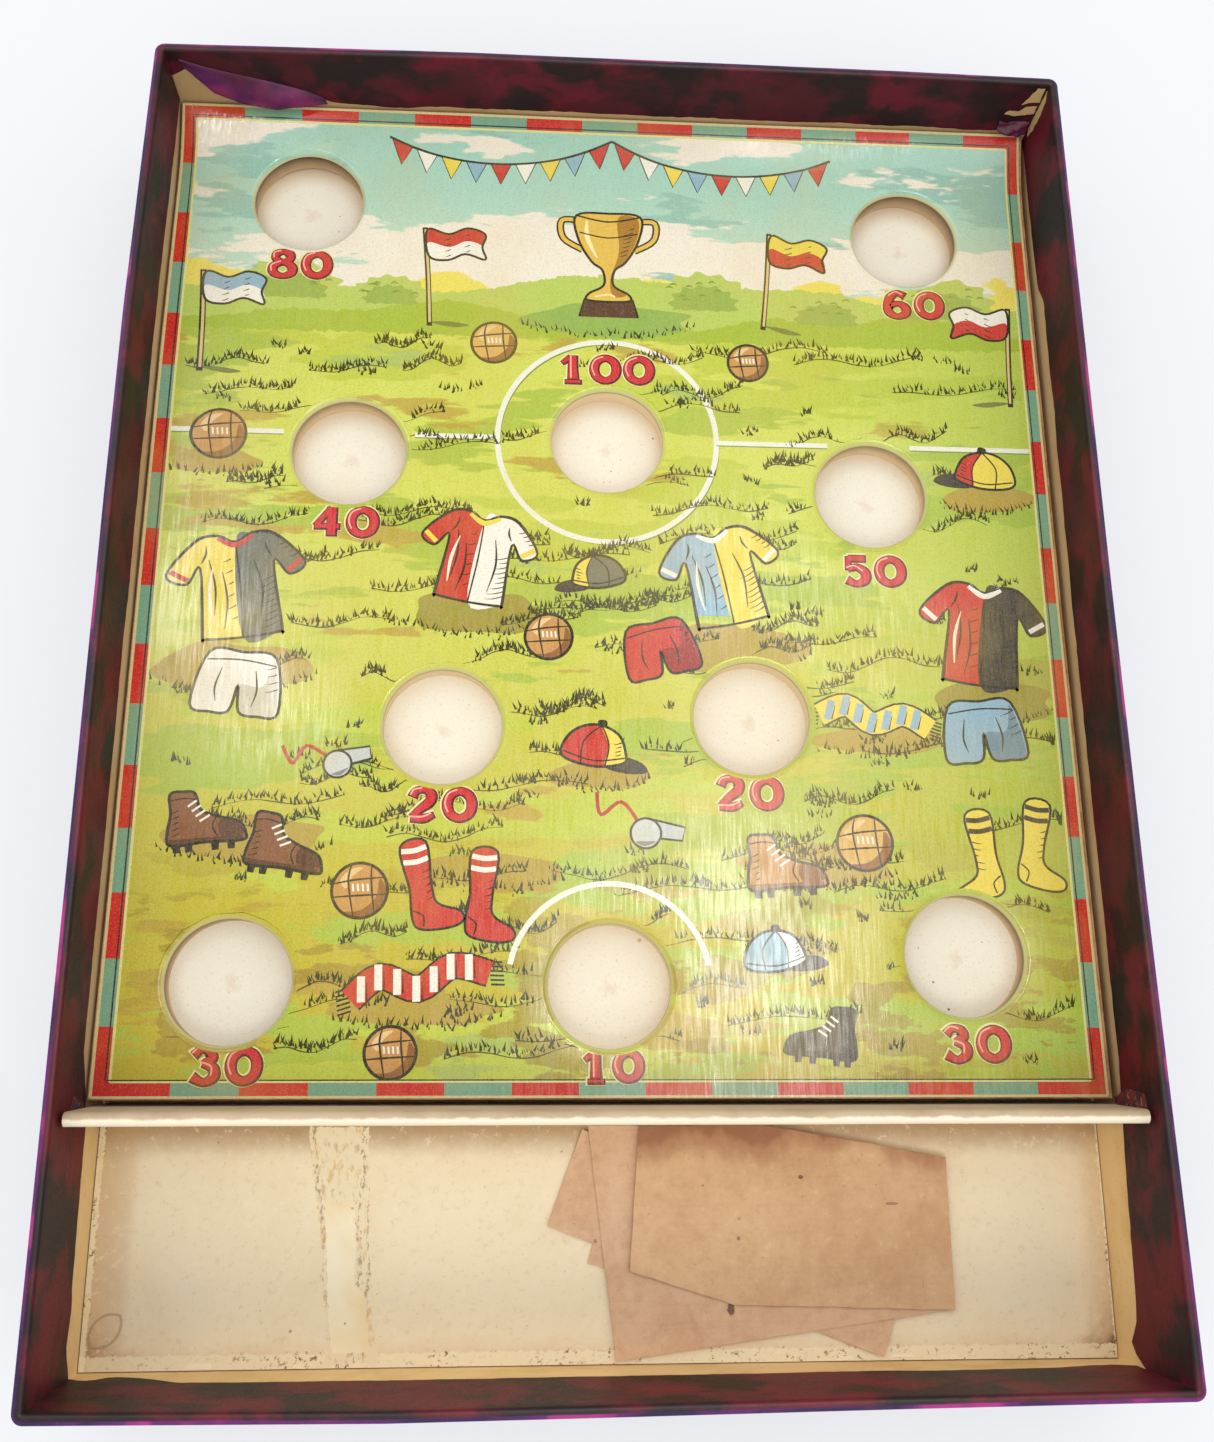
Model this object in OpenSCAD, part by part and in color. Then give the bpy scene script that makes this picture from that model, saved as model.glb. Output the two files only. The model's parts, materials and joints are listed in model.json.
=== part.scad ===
// Boxed table football game: a shallow strawboard tray wrapped in marbled
// paper, with a raised playing board of ten scoring pockets, a folded card
// divider and a storage compartment that holds three loose kraft paper slips.
// Millimetres. X runs across the tray, +Y to the far end, +Z up.
// The origin is at the middle of the tray, on the table it stands on.

/* [Tray] */
// Overall width of the tray, over its paper
tray_w = 250; // [240:1:300]
// Overall depth of the tray, near end to far end, over its paper
tray_d = 340; // [330:1:400]
// Overall height of the tray
tray_h = 42; // [40:0.5:60]
// Thickness of the strawboard walls
wall_t = 2; // [1.5:0.1:2.5]
// Thickness of the strawboard bottom
bottom_t = 2; // [1.5:0.1:2.5]
// Rounding of the walls' top edges, under the paper
wall_edge_r = 0.65; // [0.3:0.05:0.7]
// Length of each leg of the paper stays that hold the corners together
stay_leg = 14; // [8:1:20]
// Thickness of the paper stays
stay_t = 0.2; // [0.1:0.05:0.3]
// Distance from the walls' top edge down to the stays
stay_drop = 3; // [2:0.5:6]

/* [Cover paper] */
// Thickness of the marbled paper that covers the walls
cover_t = 0.25; // [0.2:0.05:0.4]
// How far the paper is turned down inside the walls, from the rim
turn_in = 19; // [14:0.5:21]
// How far the lower edge of the turned-in paper wanders up and down
turn_in_waver = 0.9; // [0.2:0.1:1.5]
// Length of that edge's slow waves
wave_l = 170; // [120:5:250]
// Length of that edge's short waves
ripple_l = 68; // [40:2:100]
// How much lower the turned-in paper reaches in the compartment's corners
corner_drop = 8; // [0:0.5:10]
// How far along each wall that lower part goes
corner_drop_w = 24; // [10:1:40]
// How far the paper is turned under the bottom
turn_under = 12; // [8:0.5:18]
// Height of the tear in the far paper, at the left corner, above its edge
tear_h = 13; // [4:0.5:14]
// Length of the tear along the far wall
tear_w = 40; // [20:1:60]
// Distance of the base paper's edges from the tray's edges
base_paper_inset = 3; // [2:0.5:6]

/* [Floor lining] */
// Thickness of the cream paper that lines the floor
lining_t = 0.25; // [0.2:0.05:0.4]
// Gap between the lining's edges and the walls
lining_gap = 1; // [0.5:0.1:2]

/* [Divider] */
// Clear depth of the storage compartment, near wall to divider
compartment_d = 55; // [50:1:62]
// Height of the divider above the floor lining
divider_h = 35; // [30:0.5:36]
// Thickness of the divider at its folded top
divider_top_w = 3.2; // [2.8:0.1:4]
// Thickness of the divider at its open foot
divider_foot_w = 5.2; // [4.8:0.1:6.5]
// Thickness of the folded card
divider_card_t = 1.1; // [0.8:0.05:1.3]

/* [Playing board] */
// Height of the printed face above the floor lining
field_rise = 15.5; // [14:0.1:17]
// Thickness of the strawboard that the pockets are cut in
field_board_t = 6.5; // [5:0.1:7]
// Thickness of the printed paper
print_t = 0.25; // [0.2:0.05:0.35]
// Thickness of the cream card that closes the pockets below
pocket_card_t = 1; // [0.6:0.1:1.5]
// Gap between the board and the paper on the left wall
field_gap_left = 0.4; // [0.3:0.1:1]
// Gap between the board and the paper on the right wall
field_gap_right = 1.3; // [0.5:0.1:3]
// Gap between the board and the paper on the far wall
field_gap_far = 0.5; // [0.3:0.1:1]
// Gap between the board and the divider's foot
field_gap_near = 0.5; // [0.3:0.1:1]
// Bare edge of the board in front of the print
print_margin_near = 1.6; // [0.4:0.1:2.5]
// Bare edge of the board round the print's other three sides
print_margin = 0.3; // [0.2:0.1:1]
// Width of the riser strips under the board
riser_w = 12; // [8:0.5:16]
// Distance of the outer riser strips from the board's edges
riser_inset = 2; // [1:0.5:5]

/* [Pockets] */
// Radius of the ten pockets
pocket_r = 15.4; // [13:0.1:16]
// Radius of the pressed-down rim round each pocket
rim_r = 1.2; // [0.8:0.1:1.4]
// 80 pocket: distance from the left edge, distance from the far edge
pocket_80 = [35.9, 27.7]; // [20:0.1:200]
// 60 pocket: distance from the right edge, distance from the far edge
pocket_60 = [36.1, 33.1]; // [20:0.1:200]
// 40 pocket: distance from the left edge, distance from the far edge
pocket_40 = [50.8, 105.1]; // [20:0.1:200]
// 50 pocket: distance from the right edge, distance from the far edge
pocket_50 = [50.3, 114.2]; // [20:0.1:200]
// 100 pocket: distance left of the middle, distance from the far edge
pocket_100 = [1, 99.9]; // [0:0.1:200]
// Left 20 pocket: distance left of the middle, distance from the near edge
pocket_20_left = [43.5, 92.4]; // [0:0.1:120]
// Right 20 pocket: distance right of the middle, distance from the near edge
pocket_20_right = [36.5, 95.7]; // [0:0.1:120]
// 10 pocket: distance left of the middle, distance from the near edge
pocket_10 = [0.8, 26.9]; // [0:0.1:120]
// Left 30 pocket: distance from the left edge, distance from the near edge
pocket_30_left = [28.5, 27.6]; // [20:0.1:120]
// Right 30 pocket: distance from the right edge, distance from the near edge
pocket_30_right = [33.1, 34.5]; // [20:0.1:120]

/* [Kraft slips] */
// Thickness of the kraft paper
kraft_t = 0.3; // [0.2:0.05:0.4]
// Gap between the slips and the divider
slip_gap = 0.5; // [0.4:0.1:2]
// Gap between the two leaves of the folded slip
leaf_gap = 0.3; // [0.2:0.05:0.5]
// Length of the bottom slip
bottom_slip_l = 50; // [30:1:56]
// Width of the bottom slip
bottom_slip_w = 22; // [15:1:26]
// Length of the middle slip
middle_slip_l = 87; // [60:1:88]
// Width of the middle slip
middle_slip_w = 24; // [15:1:25]
// Length of the folded slip
folded_slip_l = 83; // [60:1:90]
// Width of the folded slip at its fold
folded_slip_w = 35.5; // [25:0.5:38]
// Turn of the bottom slip, in degrees
bottom_slip_turn = -16; // [-18:0.5:-12]
// Turn of the middle slip, in degrees
middle_slip_turn = -20.5; // [-22:0.5:-18]
// Turn of the folded slip's near edge, in degrees
folded_slip_turn = 7.3; // [6:0.1:8]
// Bottom slip's left corner: distance left of the middle
bottom_slip_left = 5.9; // [2:0.1:10]
// Bottom slip's left corner: distance from the slips' far edge
bottom_slip_reach = 32.1; // [26:0.1:33]
// Middle slip's left corner: distance left of the middle
middle_slip_left = 15.7; // [10:0.1:18]
// Middle slip's left corner: distance from the slips' far edge
middle_slip_reach = 23.4; // [23:0.1:24]
// Lower leaf's far edge starts this far left of the middle
lower_leaf_left = 5.9; // [2:0.1:10]
// Lower leaf's near corner: distance right of the middle
lower_leaf_near = 1; // [0:0.5:4]
// Lower leaf's near corner: distance from the slips' far edge
lower_leaf_reach = 53.9; // [50:0.1:54]
// Both leaves turn away from the divider this far right of the middle
leaf_bend = 38; // [30:1:45]
// Upper leaf's far edge starts this far right of the middle
upper_leaf_far = 6.7; // [4:0.1:10]
// Upper leaf's near edge starts this far right of the middle
upper_leaf_near = 4.3; // [3:0.1:8]
// Upper leaf's near edge starts this far from the slips' far edge
upper_leaf_reach = 33.7; // [30:0.1:36]
// Upper leaf's near edge bends this far right of the middle
upper_leaf_bend = 29.3; // [25:0.1:35]
// Upper leaf's near edge bends this far from the slips' far edge
upper_leaf_bend_reach = 41.6; // [40:0.1:44]

/* [Hidden] */

// Smoothness of round shapes
$fn = 72;

// Colours, as the old paper and board show them
strawboard = [0.78, 0.64, 0.40];
marbled = [0.36, 0.12, 0.22];
cream = [0.88, 0.80, 0.65];
print_green = [0.66, 0.76, 0.34];
kraft = [0.72, 0.55, 0.41];

// Side build-up: paper, board, paper
side_t = wall_t + 2 * cover_t;
inner_x = tray_w / 2 - side_t;
inner_y = tray_d / 2 - side_t;
cover_edge_r = wall_edge_r + cover_t;

// Levels, from the table up
under_z = cover_t;
board_z = 2 * cover_t;
floor_z = board_z + bottom_t;
lining_z = floor_z + lining_t;
rim_z = tray_h;
wall_top_z = rim_z - cover_t;
turn_in_z = rim_z - turn_in;
field_z = lining_z + field_rise;
field_board_top = field_z - print_t;
pocket_floor_z = field_board_top - field_board_t;
card_z = pocket_floor_z - pocket_card_t;

// Divider's faces
divider_near_y = -inner_y + compartment_d;
divider_foot_y = divider_near_y + divider_foot_w;

// Playing board's edges
field_left = -inner_x + field_gap_left;
field_right = inner_x - field_gap_right;
field_far = inner_y - field_gap_far;
field_near = divider_foot_y + field_gap_near;
field_mid = (field_left + field_right) / 2;

// Pocket centres
pocket_centres = [
    [field_left + pocket_80[0], field_far - pocket_80[1]],
    [field_right - pocket_60[0], field_far - pocket_60[1]],
    [field_left + pocket_40[0], field_far - pocket_40[1]],
    [field_right - pocket_50[0], field_far - pocket_50[1]],
    [field_mid - pocket_100[0], field_far - pocket_100[1]],
    [field_mid - pocket_20_left[0], field_near + pocket_20_left[1]],
    [field_mid + pocket_20_right[0], field_near + pocket_20_right[1]],
    [field_mid - pocket_10[0], field_near + pocket_10[1]],
    [field_left + pocket_30_left[0], field_near + pocket_30_left[1]],
    [field_right - pocket_30_right[0], field_near + pocket_30_right[1]]
];

// Slips: their far edges lie along the divider
slip_far_y = divider_near_y - slip_gap;
bottom_slip_z = lining_z;
middle_slip_z = bottom_slip_z + kraft_t;
folded_slip_z = middle_slip_z + kraft_t;

// Small overlap that keeps a cutting shape from ending flush with a face
cut = 0.5;

// A bar's section with its two top edges rounded
module rounded_section(w, h, r) {
    square([w, h - r]);
    translate([r, 0]) square([w - 2 * r, h]);
    translate([r, h - r]) circle(r);
    translate([w - r, h - r]) circle(r);
}

// Section of a wall board: u runs outwards from the inner paper face
module wall_section() {
    translate([cover_t, board_z]) rounded_section(wall_t, wall_top_z - board_z, wall_edge_r);
}

// Section of the outer paper and the rim, down to the table side of the wall
module cover_section() {
    difference() {
        translate([0, under_z]) rounded_section(side_t, rim_z - under_z, cover_edge_r);
        wall_section();
        translate([-cut, 0]) square([cover_t + cut, rim_z - cover_edge_r]);
        translate([-cut, under_z - cut]) square([side_t + 2 * cut, board_z - under_z + cut]);
    }
}

// Lays a section along a side: len along the side, centred, at the inner face
module along_side(len) {
    rotate([90, 0, 0]) linear_extrude(len, center = true) children();
}

// Turns a section through the quarter circle of a rounded corner
module round_corner() {
    rotate_extrude(angle = 90) children();
}

// Places its children, drawn with the inner face at x = 0 and outside at +x,
// on the side whose outward direction is turned by angle from +X
module on_side(angle, reach) {
    rotate([0, 0, angle]) translate([reach, 0, 0]) children();
}

// A long wall: the board runs on round both corners
module long_wall_board(angle) {
    color(strawboard) difference() {
        on_side(angle, inner_x) {
            along_side(2 * inner_y) wall_section();
            translate([0, inner_y, 0]) round_corner() wall_section();
            translate([0, -inner_y, 0]) rotate([0, 0, -90]) round_corner() wall_section();
        }
        all_stays();
    }
}

// A short wall: the board butts between the long ones
module short_wall_board(angle) {
    color(strawboard) difference() {
        on_side(angle, inner_y) along_side(2 * inner_x) wall_section();
        all_stays();
    }
}

// One corner stay: a strip of paper let into the outside of the boards
module stay() {
    stay_z = board_z;
    stay_h = wall_top_z - stay_drop - board_z;
    stay_r = cover_t + wall_t;
    translate([0, 0, stay_z]) {
        rotate_extrude(angle = 90) translate([stay_r - stay_t, 0]) square([stay_t, stay_h]);
        translate([stay_r - stay_t, -stay_leg, 0]) cube([stay_t, stay_leg, stay_h]);
        translate([-stay_leg, stay_r - stay_t, 0]) cube([stay_leg, stay_t, stay_h]);
    }
}

module all_stays() {
    translate([inner_x, inner_y, 0]) stay();
    translate([-inner_x, inner_y, 0]) rotate([0, 0, 90]) stay();
    translate([-inner_x, -inner_y, 0]) rotate([0, 0, 180]) stay();
    translate([inner_x, -inner_y, 0]) rotate([0, 0, 270]) stay();
}

// Wandering lower edge of the turned-in paper at distance s along a side
function waver(s, phase) = turn_in_waver
    * (0.6 * sin(360 * s / wave_l + phase) + 0.4 * sin(360 * s / ripple_l + 2 * phase));

// Share of the drop at a distance from a corner, from 1 to 0
function lobe(gap) = pow(max(0, 1 - gap / corner_drop_w), 2);

// Turned-in paper, drawn flat: s along the side, z up, from -half to half.
// low_ends says for each end whether it reaches lower, 1 or 0
module turned_in_sheet(half, phase, low_ends) {
    steps = 56;
    edge = [for (i = [0 : steps]) let (s = -half + 2 * half * i / steps)
        [s, turn_in_z + waver(s, phase)
            - corner_drop * (low_ends[0] * lobe(half + s) + low_ends[1] * lobe(half - s))]];
    polygon(concat(edge, [[half, rim_z - cover_edge_r], [-half, rim_z - cover_edge_r]]));
}

// Stands a flat drawing up against the inner face of a side
module stand_inside() {
    rotate([90, 0, 90]) linear_extrude(cover_t) children();
}

// Paper turned under the bottom, mitred at both ends
module turned_under(half) {
    lap = turn_under - side_t;
    translate([0, 0, under_z]) linear_extrude(board_z - under_z)
        polygon([[side_t, -half], [side_t, half], [0, half], [-lap, half - lap],
                 [-lap, lap - half], [0, -half]]);
}

// Quarter disc of turned-under paper at a rounded corner
module corner_under() {
    translate([0, 0, under_z]) rotate_extrude(angle = 90) square([side_t, board_z - under_z]);
}

// Cover strip of a long side, with both of the tray's corners on it
module long_cover(angle, phase, low_ends) {
    color(marbled) on_side(angle, inner_x) {
        along_side(2 * inner_y) cover_section();
        stand_inside() turned_in_sheet(inner_y, phase, low_ends);
        turned_under(inner_y);
        for (end = [0, 1]) mirror([0, end, 0]) translate([0, inner_y, 0]) {
            round_corner() cover_section();
            corner_under();
        }
    }
}

// Cover strip of a short side; its inner ends stop at the long strips
module short_cover(angle, phase, low_ends, torn) {
    color(marbled) on_side(angle, inner_y) {
        along_side(2 * inner_x) cover_section();
        stand_inside() difference() {
            turned_in_sheet(inner_x, phase, low_ends);
            if (torn) tear();
        }
        turned_under(inner_x);
    }
}

// Where the far paper has come away from the board at the left corner
module tear() {
    below = turn_in_z - 2 * turn_in_waver;
    edge = turn_in_z;
    polygon([
        [inner_x + cut, below], [inner_x + cut, edge + 0.7 * tear_h],
        [inner_x - 0.12 * tear_w, edge + tear_h], [inner_x - 0.42 * tear_w, edge + 0.76 * tear_h],
        [inner_x - 0.85 * tear_w, edge + 0.35 * tear_h], [inner_x - tear_w, below]
    ]);
}

module bottom_board() {
    w = 2 * (inner_x + cover_t);
    d = 2 * (inner_y + cover_t);
    color(strawboard) translate([-w / 2, -d / 2, board_z]) cube([w, d, bottom_t]);
}

module left_wall() long_wall_board(180);
module right_wall() long_wall_board(0);
module far_wall() short_wall_board(90);
module near_wall() short_wall_board(270);

module corner_stays() color(cream) all_stays();

module left_cover() long_cover(180, 20, [0, 1]);
module right_cover() long_cover(0, 140, [1, 0]);
module far_cover() short_cover(90, 250, [0, 0], true);
module near_cover() short_cover(270, 75, [1, 1], false);

module base_paper() {
    w = tray_w - 2 * base_paper_inset;
    d = tray_d - 2 * base_paper_inset;
    color(cream) translate([-w / 2, -d / 2, 0]) cube([w, d, under_z]);
}

module floor_lining() {
    w = 2 * (inner_x + cover_t - lining_gap);
    d = 2 * (inner_y + cover_t - lining_gap);
    color(cream) translate([-w / 2, -d / 2, floor_z]) cube([w, d, lining_t]);
}

// Folded card: two leaves that stand apart at the foot and meet in a fold
module divider_card() {
    top = lining_z + divider_h;
    fold_r = divider_top_w / 2;
    hollow_top = top - fold_r - divider_card_t / 2;
    side = (divider_foot_w - divider_top_w) / (divider_h - fold_r);
    color(cream) translate([0, divider_near_y, 0]) rotate([90, 0, 90])
        linear_extrude(2 * inner_x, center = true) difference() {
            union() {
                polygon([[0, lining_z], [divider_foot_w, lining_z],
                         [divider_top_w, top - fold_r], [0, top - fold_r]]);
                translate([fold_r, top - fold_r]) circle(fold_r);
            }
            polygon([[divider_card_t, lining_z - cut],
                     [divider_foot_w - divider_card_t + side * cut, lining_z - cut],
                     [divider_top_w - divider_card_t, hollow_top],
                     [divider_card_t, hollow_top]]);
        }
}

// A riser strip under the pocket card, from one plan corner to the other
module riser(low, high) {
    color(strawboard) translate([low[0], low[1], lining_z])
        cube([high[0] - low[0], high[1] - low[1], card_z - lining_z]);
}

riser_left_x = field_left + riser_inset;
riser_right_x = field_right - riser_inset;
riser_near_y = field_near + riser_inset;
riser_far_y = field_far - riser_inset;
riser_mid_y = (riser_near_y + riser_far_y) / 2;

module riser_left() riser([riser_left_x, riser_near_y], [riser_left_x + riser_w, riser_far_y]);
module riser_right() riser([riser_right_x - riser_w, riser_near_y], [riser_right_x, riser_far_y]);
module riser_far() cross_riser(riser_far_y - riser_w);
module riser_near() cross_riser(riser_near_y);
module riser_middle() cross_riser(riser_mid_y - riser_w / 2);
module cross_riser(y) riser([riser_left_x + riser_w, y], [riser_right_x - riser_w, y + riser_w]);

module pocket_card() {
    color(cream) translate([field_left, field_near, card_z])
        cube([field_right - field_left, field_far - field_near, pocket_card_t]);
}

// Strawboard with ten pockets, each eased at its mouth for the pressed rim
module playing_board() {
    color(strawboard) difference() {
        translate([field_left, field_near, pocket_floor_z])
            cube([field_right - field_left, field_far - field_near, field_board_t]);
        for (c = pocket_centres) translate([c[0], c[1], 0]) {
            translate([0, 0, pocket_floor_z - cut]) cylinder(r = pocket_r, h = field_board_t + 2 * cut);
            translate([0, 0, field_board_top - rim_r]) cylinder(r1 = pocket_r, r2 = pocket_r + rim_r, h = rim_r);
        }
    }
}

// Printed paper: flat round the pockets and pressed down into each mouth
module playing_print() {
    left = field_left + print_margin;
    near = field_near + print_margin_near;
    w = field_right - print_margin - left;
    d = field_far - print_margin - near;
    color(print_green) {
        difference() {
            translate([left, near, field_board_top]) cube([w, d, print_t]);
            for (c = pocket_centres) translate([c[0], c[1], field_board_top - cut])
                cylinder(r = pocket_r + rim_r, h = print_t + 2 * cut);
        }
        for (c = pocket_centres) translate([c[0], c[1], field_board_top - rim_r]) pressed_rim();
    }
}

// A quarter-round lip of paper, from the flat print down into the pocket
module pressed_rim() {
    rotate_extrude() difference() {
        intersection() {
            translate([pocket_r + rim_r, 0]) circle(rim_r + print_t);
            translate([pocket_r - print_t, 0]) square([rim_r + print_t, rim_r + print_t]);
        }
        translate([pocket_r + rim_r, 0]) circle(rim_r);
    }
}

// Bottom slip: only one corner of it shows, under the others
module bottom_slip() {
    color(kraft) translate([-bottom_slip_left, slip_far_y - bottom_slip_reach, bottom_slip_z])
        rotate([0, 0, bottom_slip_turn]) cube([bottom_slip_l, bottom_slip_w, kraft_t]);
}

module middle_slip() {
    color(kraft) translate([-middle_slip_left, slip_far_y - middle_slip_reach, middle_slip_z])
        rotate([0, 0, middle_slip_turn]) cube([middle_slip_l, middle_slip_w, kraft_t]);
}

// Folded slip: a lower and an upper leaf that meet in a fold on the right
module folded_slip() {
    fold_r = kraft_t + leaf_gap / 2;
    upper_z = kraft_t + leaf_gap;
    near_corner = [lower_leaf_near, slip_far_y - lower_leaf_reach];
    fold_near = [near_corner[0] + folded_slip_l * cos(folded_slip_turn),
                 near_corner[1] + folded_slip_l * sin(folded_slip_turn)];
    fold_far = [fold_near[0], fold_near[1] + folded_slip_w];
    far_bend = [leaf_bend, slip_far_y];
    far_left = [-lower_leaf_left, slip_far_y];
    upper_left = [[upper_leaf_far, slip_far_y], [upper_leaf_near, slip_far_y - upper_leaf_reach],
                  [upper_leaf_bend, slip_far_y - upper_leaf_bend_reach]];
    color(kraft) translate([0, 0, folded_slip_z]) {
        linear_extrude(kraft_t) polygon([near_corner, fold_near, fold_far, far_bend, far_left]);
        translate([0, 0, upper_z]) linear_extrude(kraft_t)
            polygon(concat(upper_left, [fold_near, fold_far, far_bend]));
        translate([fold_near[0], fold_near[1], fold_r]) rotate([-90, 0, 0])
            linear_extrude(folded_slip_w) intersection() {
                difference() {
                    circle(fold_r);
                    circle(leaf_gap / 2);
                }
                translate([0, -fold_r]) square([fold_r, 2 * fold_r]);
            }
    }
}

bottom_board();
left_wall();
right_wall();
far_wall();
near_wall();
corner_stays();
left_cover();
right_cover();
far_cover();
near_cover();
base_paper();
floor_lining();
divider_card();
riser_left();
riser_right();
riser_far();
riser_near();
riser_middle();
pocket_card();
playing_board();
playing_print();
bottom_slip();
middle_slip();
folded_slip();
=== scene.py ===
# %% [markdown]
# # A boxed table football game
# The real game is a shallow box of brown strawboard, wrapped in marbled paper. A printed
# playing board with ten pockets drops into it, and a folded card divider keeps a small
# compartment free for loose paper slips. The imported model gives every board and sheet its
# place, so the first step loads it and measures it, and each later size follows from it.

# %% Load the frame
import json
import math
import random

import bmesh
import bpy
import numpy as np
from mathutils import Matrix, Vector, geometry, noise


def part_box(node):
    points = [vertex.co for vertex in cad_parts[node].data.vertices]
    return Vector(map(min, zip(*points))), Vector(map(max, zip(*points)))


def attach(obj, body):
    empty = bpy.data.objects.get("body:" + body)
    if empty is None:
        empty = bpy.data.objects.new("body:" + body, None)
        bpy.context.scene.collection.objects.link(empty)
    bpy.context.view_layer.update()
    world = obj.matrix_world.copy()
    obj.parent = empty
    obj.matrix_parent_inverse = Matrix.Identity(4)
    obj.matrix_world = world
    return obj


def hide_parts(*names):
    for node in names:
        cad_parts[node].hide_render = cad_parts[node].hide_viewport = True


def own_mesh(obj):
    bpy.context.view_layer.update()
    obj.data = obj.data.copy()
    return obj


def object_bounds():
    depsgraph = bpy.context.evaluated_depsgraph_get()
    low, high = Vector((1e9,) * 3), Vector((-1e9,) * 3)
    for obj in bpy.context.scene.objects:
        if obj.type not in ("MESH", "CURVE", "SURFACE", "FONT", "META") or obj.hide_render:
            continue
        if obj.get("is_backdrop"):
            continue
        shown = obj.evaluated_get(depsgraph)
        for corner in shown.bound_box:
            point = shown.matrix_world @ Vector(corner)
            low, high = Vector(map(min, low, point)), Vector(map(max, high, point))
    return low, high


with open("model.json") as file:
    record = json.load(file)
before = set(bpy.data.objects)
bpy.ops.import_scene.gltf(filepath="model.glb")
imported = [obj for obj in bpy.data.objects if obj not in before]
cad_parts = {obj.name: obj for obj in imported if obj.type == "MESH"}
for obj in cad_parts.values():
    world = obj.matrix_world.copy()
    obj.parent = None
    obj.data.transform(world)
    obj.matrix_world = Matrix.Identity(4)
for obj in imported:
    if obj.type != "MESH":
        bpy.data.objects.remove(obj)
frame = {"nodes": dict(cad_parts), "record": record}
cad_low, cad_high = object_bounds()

MM = 0.001
print("nodes in the frame:", len(frame["nodes"]))

# %% [markdown]
# ## Sizes
# Nothing is typed twice. The divider runs from wall to wall, so its ends give the inner
# faces, and the difference to the outside is the thickness of a side. The record names an
# open space for each pocket, and the middle of that space is the pocket's centre.

# %% Measure the frame
divider_low, divider_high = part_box("divider_card")
print_low, print_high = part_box("playing_print")
board_low, board_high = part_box("playing_board")
side_t = cad_high.x - divider_high.x
inner_x = cad_high.x - side_t
inner_y = cad_high.y - side_t
rim_z = cad_high.z
lining_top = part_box("floor_lining")[1].z
field_z = print_high.z

pockets = {}
for opening in frame["record"]["physics"]["openings"]:
    if opening["name"].startswith("pocket_"):
        low, high = (Vector(corner) for corner in opening["box_m"])
        pockets[opening["name"]] = (low + high) / 2


def pocket_radius():
    """Distance from a pocket's centre to the nearest corner of the board's mesh."""
    centre = pockets["pocket_100"].xy
    corners = frame["nodes"]["playing_board"].data.vertices
    return min((v.co.xy - centre).length for v in corners)


pocket_r = pocket_radius()
print("inner half sizes in mm:", round(inner_x / MM, 2), round(inner_y / MM, 2))
print("pockets:", len(pockets), "radius in mm:", round(pocket_r / MM, 2))

# %% [markdown]
# ## The camera
# The picture is taken by hand from above the near end, a little to the left of the middle,
# with the long side of the box turned by a few degrees. A camera is a matrix: its columns
# are the directions of right, up and back, so a measured view can be set without angles.

# %% Camera
CAMERA_PLACE = Vector((-0.02358, -0.10840, 0.36021))
CAMERA_RIGHT = Vector((0.99801, -0.00246, 0.06298))
CAMERA_DOWN = Vector((0.01458, -0.96314, -0.26862))
CAMERA_AHEAD = Vector((0.06132, 0.26901, -0.96118))
CAMERA_LENS = 34.43

camera = bpy.data.objects.new("camera", bpy.data.cameras.new("camera"))
bpy.context.scene.collection.objects.link(camera)
turn = Matrix((CAMERA_RIGHT, -CAMERA_DOWN, -CAMERA_AHEAD)).transposed()
camera.matrix_world = Matrix.Translation(CAMERA_PLACE) @ turn.to_4x4()
camera.data.lens = CAMERA_LENS
camera.data.sensor_width = 36
camera.data.clip_start = 0.01
bpy.context.scene.camera = camera
print("camera height in mm:", round(CAMERA_PLACE.z / MM))

# %% [markdown]
# ## Helpers for node trees
# A material is a small program drawn as a graph. Written as text, each line should make one
# node and say what goes into it. A wire stands for the output of a node, and it knows how to
# add and multiply: `height * 0.6 + pools` makes the two maths nodes that such a sum needs.

# %% Node helper


def paint(red, green, blue):
    """A colour picked on screen, 0 to 255, as the linear colour that a shader wants."""
    shares = [value / 255 for value in (red, green, blue)]
    return (*[s / 12.92 if s <= 0.04045 else ((s + 0.055) / 1.055) ** 2.4 for s in shares], 1.0)


class Wire:
    """An output of a node. Arithmetic with wires adds the maths nodes for it."""

    def __init__(self, socket):
        self.socket = socket

    def __add__(self, other):
        return maths("ADD", self, other)

    def __sub__(self, other):
        return maths("SUBTRACT", self, other)

    def __rsub__(self, other):
        return maths("SUBTRACT", other, self)

    def __mul__(self, other):
        return maths("MULTIPLY", self, other)

    def __abs__(self):
        return maths("ABSOLUTE", self)


def feed(socket, value):
    """Puts a wire, a number or a screen colour into a socket."""
    if isinstance(value, Wire):
        socket.id_data.links.new(value.socket, socket)
    elif socket.type == "RGBA" and len(value) == 3:
        socket.default_value = paint(*value)
    else:
        socket.default_value = value


def emptied(owner):
    """The node tree of a material or a world, with nothing in it."""
    owner.use_nodes = True
    owner.node_tree.nodes.clear()
    return owner.node_tree


def add(tree, kind, inputs=None, **menus):
    """Makes one node. inputs maps a socket's name or number to what goes into it."""
    made = tree.nodes.new(kind)
    for menu, choice in menus.items():
        setattr(made, menu, choice)
    for key, value in (inputs or {}).items():
        feed(made.inputs[key], value)
    return made


def tap(tree, kind, output, inputs=None, **menus):
    """Adds a node and gives one of its outputs. A wire may stand for the tree it is in."""
    tree = tree.socket.id_data if isinstance(tree, Wire) else tree
    return Wire(add(tree, kind, inputs, **menus).outputs[output])


def maths(operation, *values):
    near = next(value for value in values if isinstance(value, Wire))
    return tap(near, "ShaderNodeMath", 0, dict(enumerate(values)), operation=operation)


def vectors(operation, *values, output="Vector"):
    return tap(values[0], "ShaderNodeVectorMath", output, dict(enumerate(values)), operation=operation)


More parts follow.
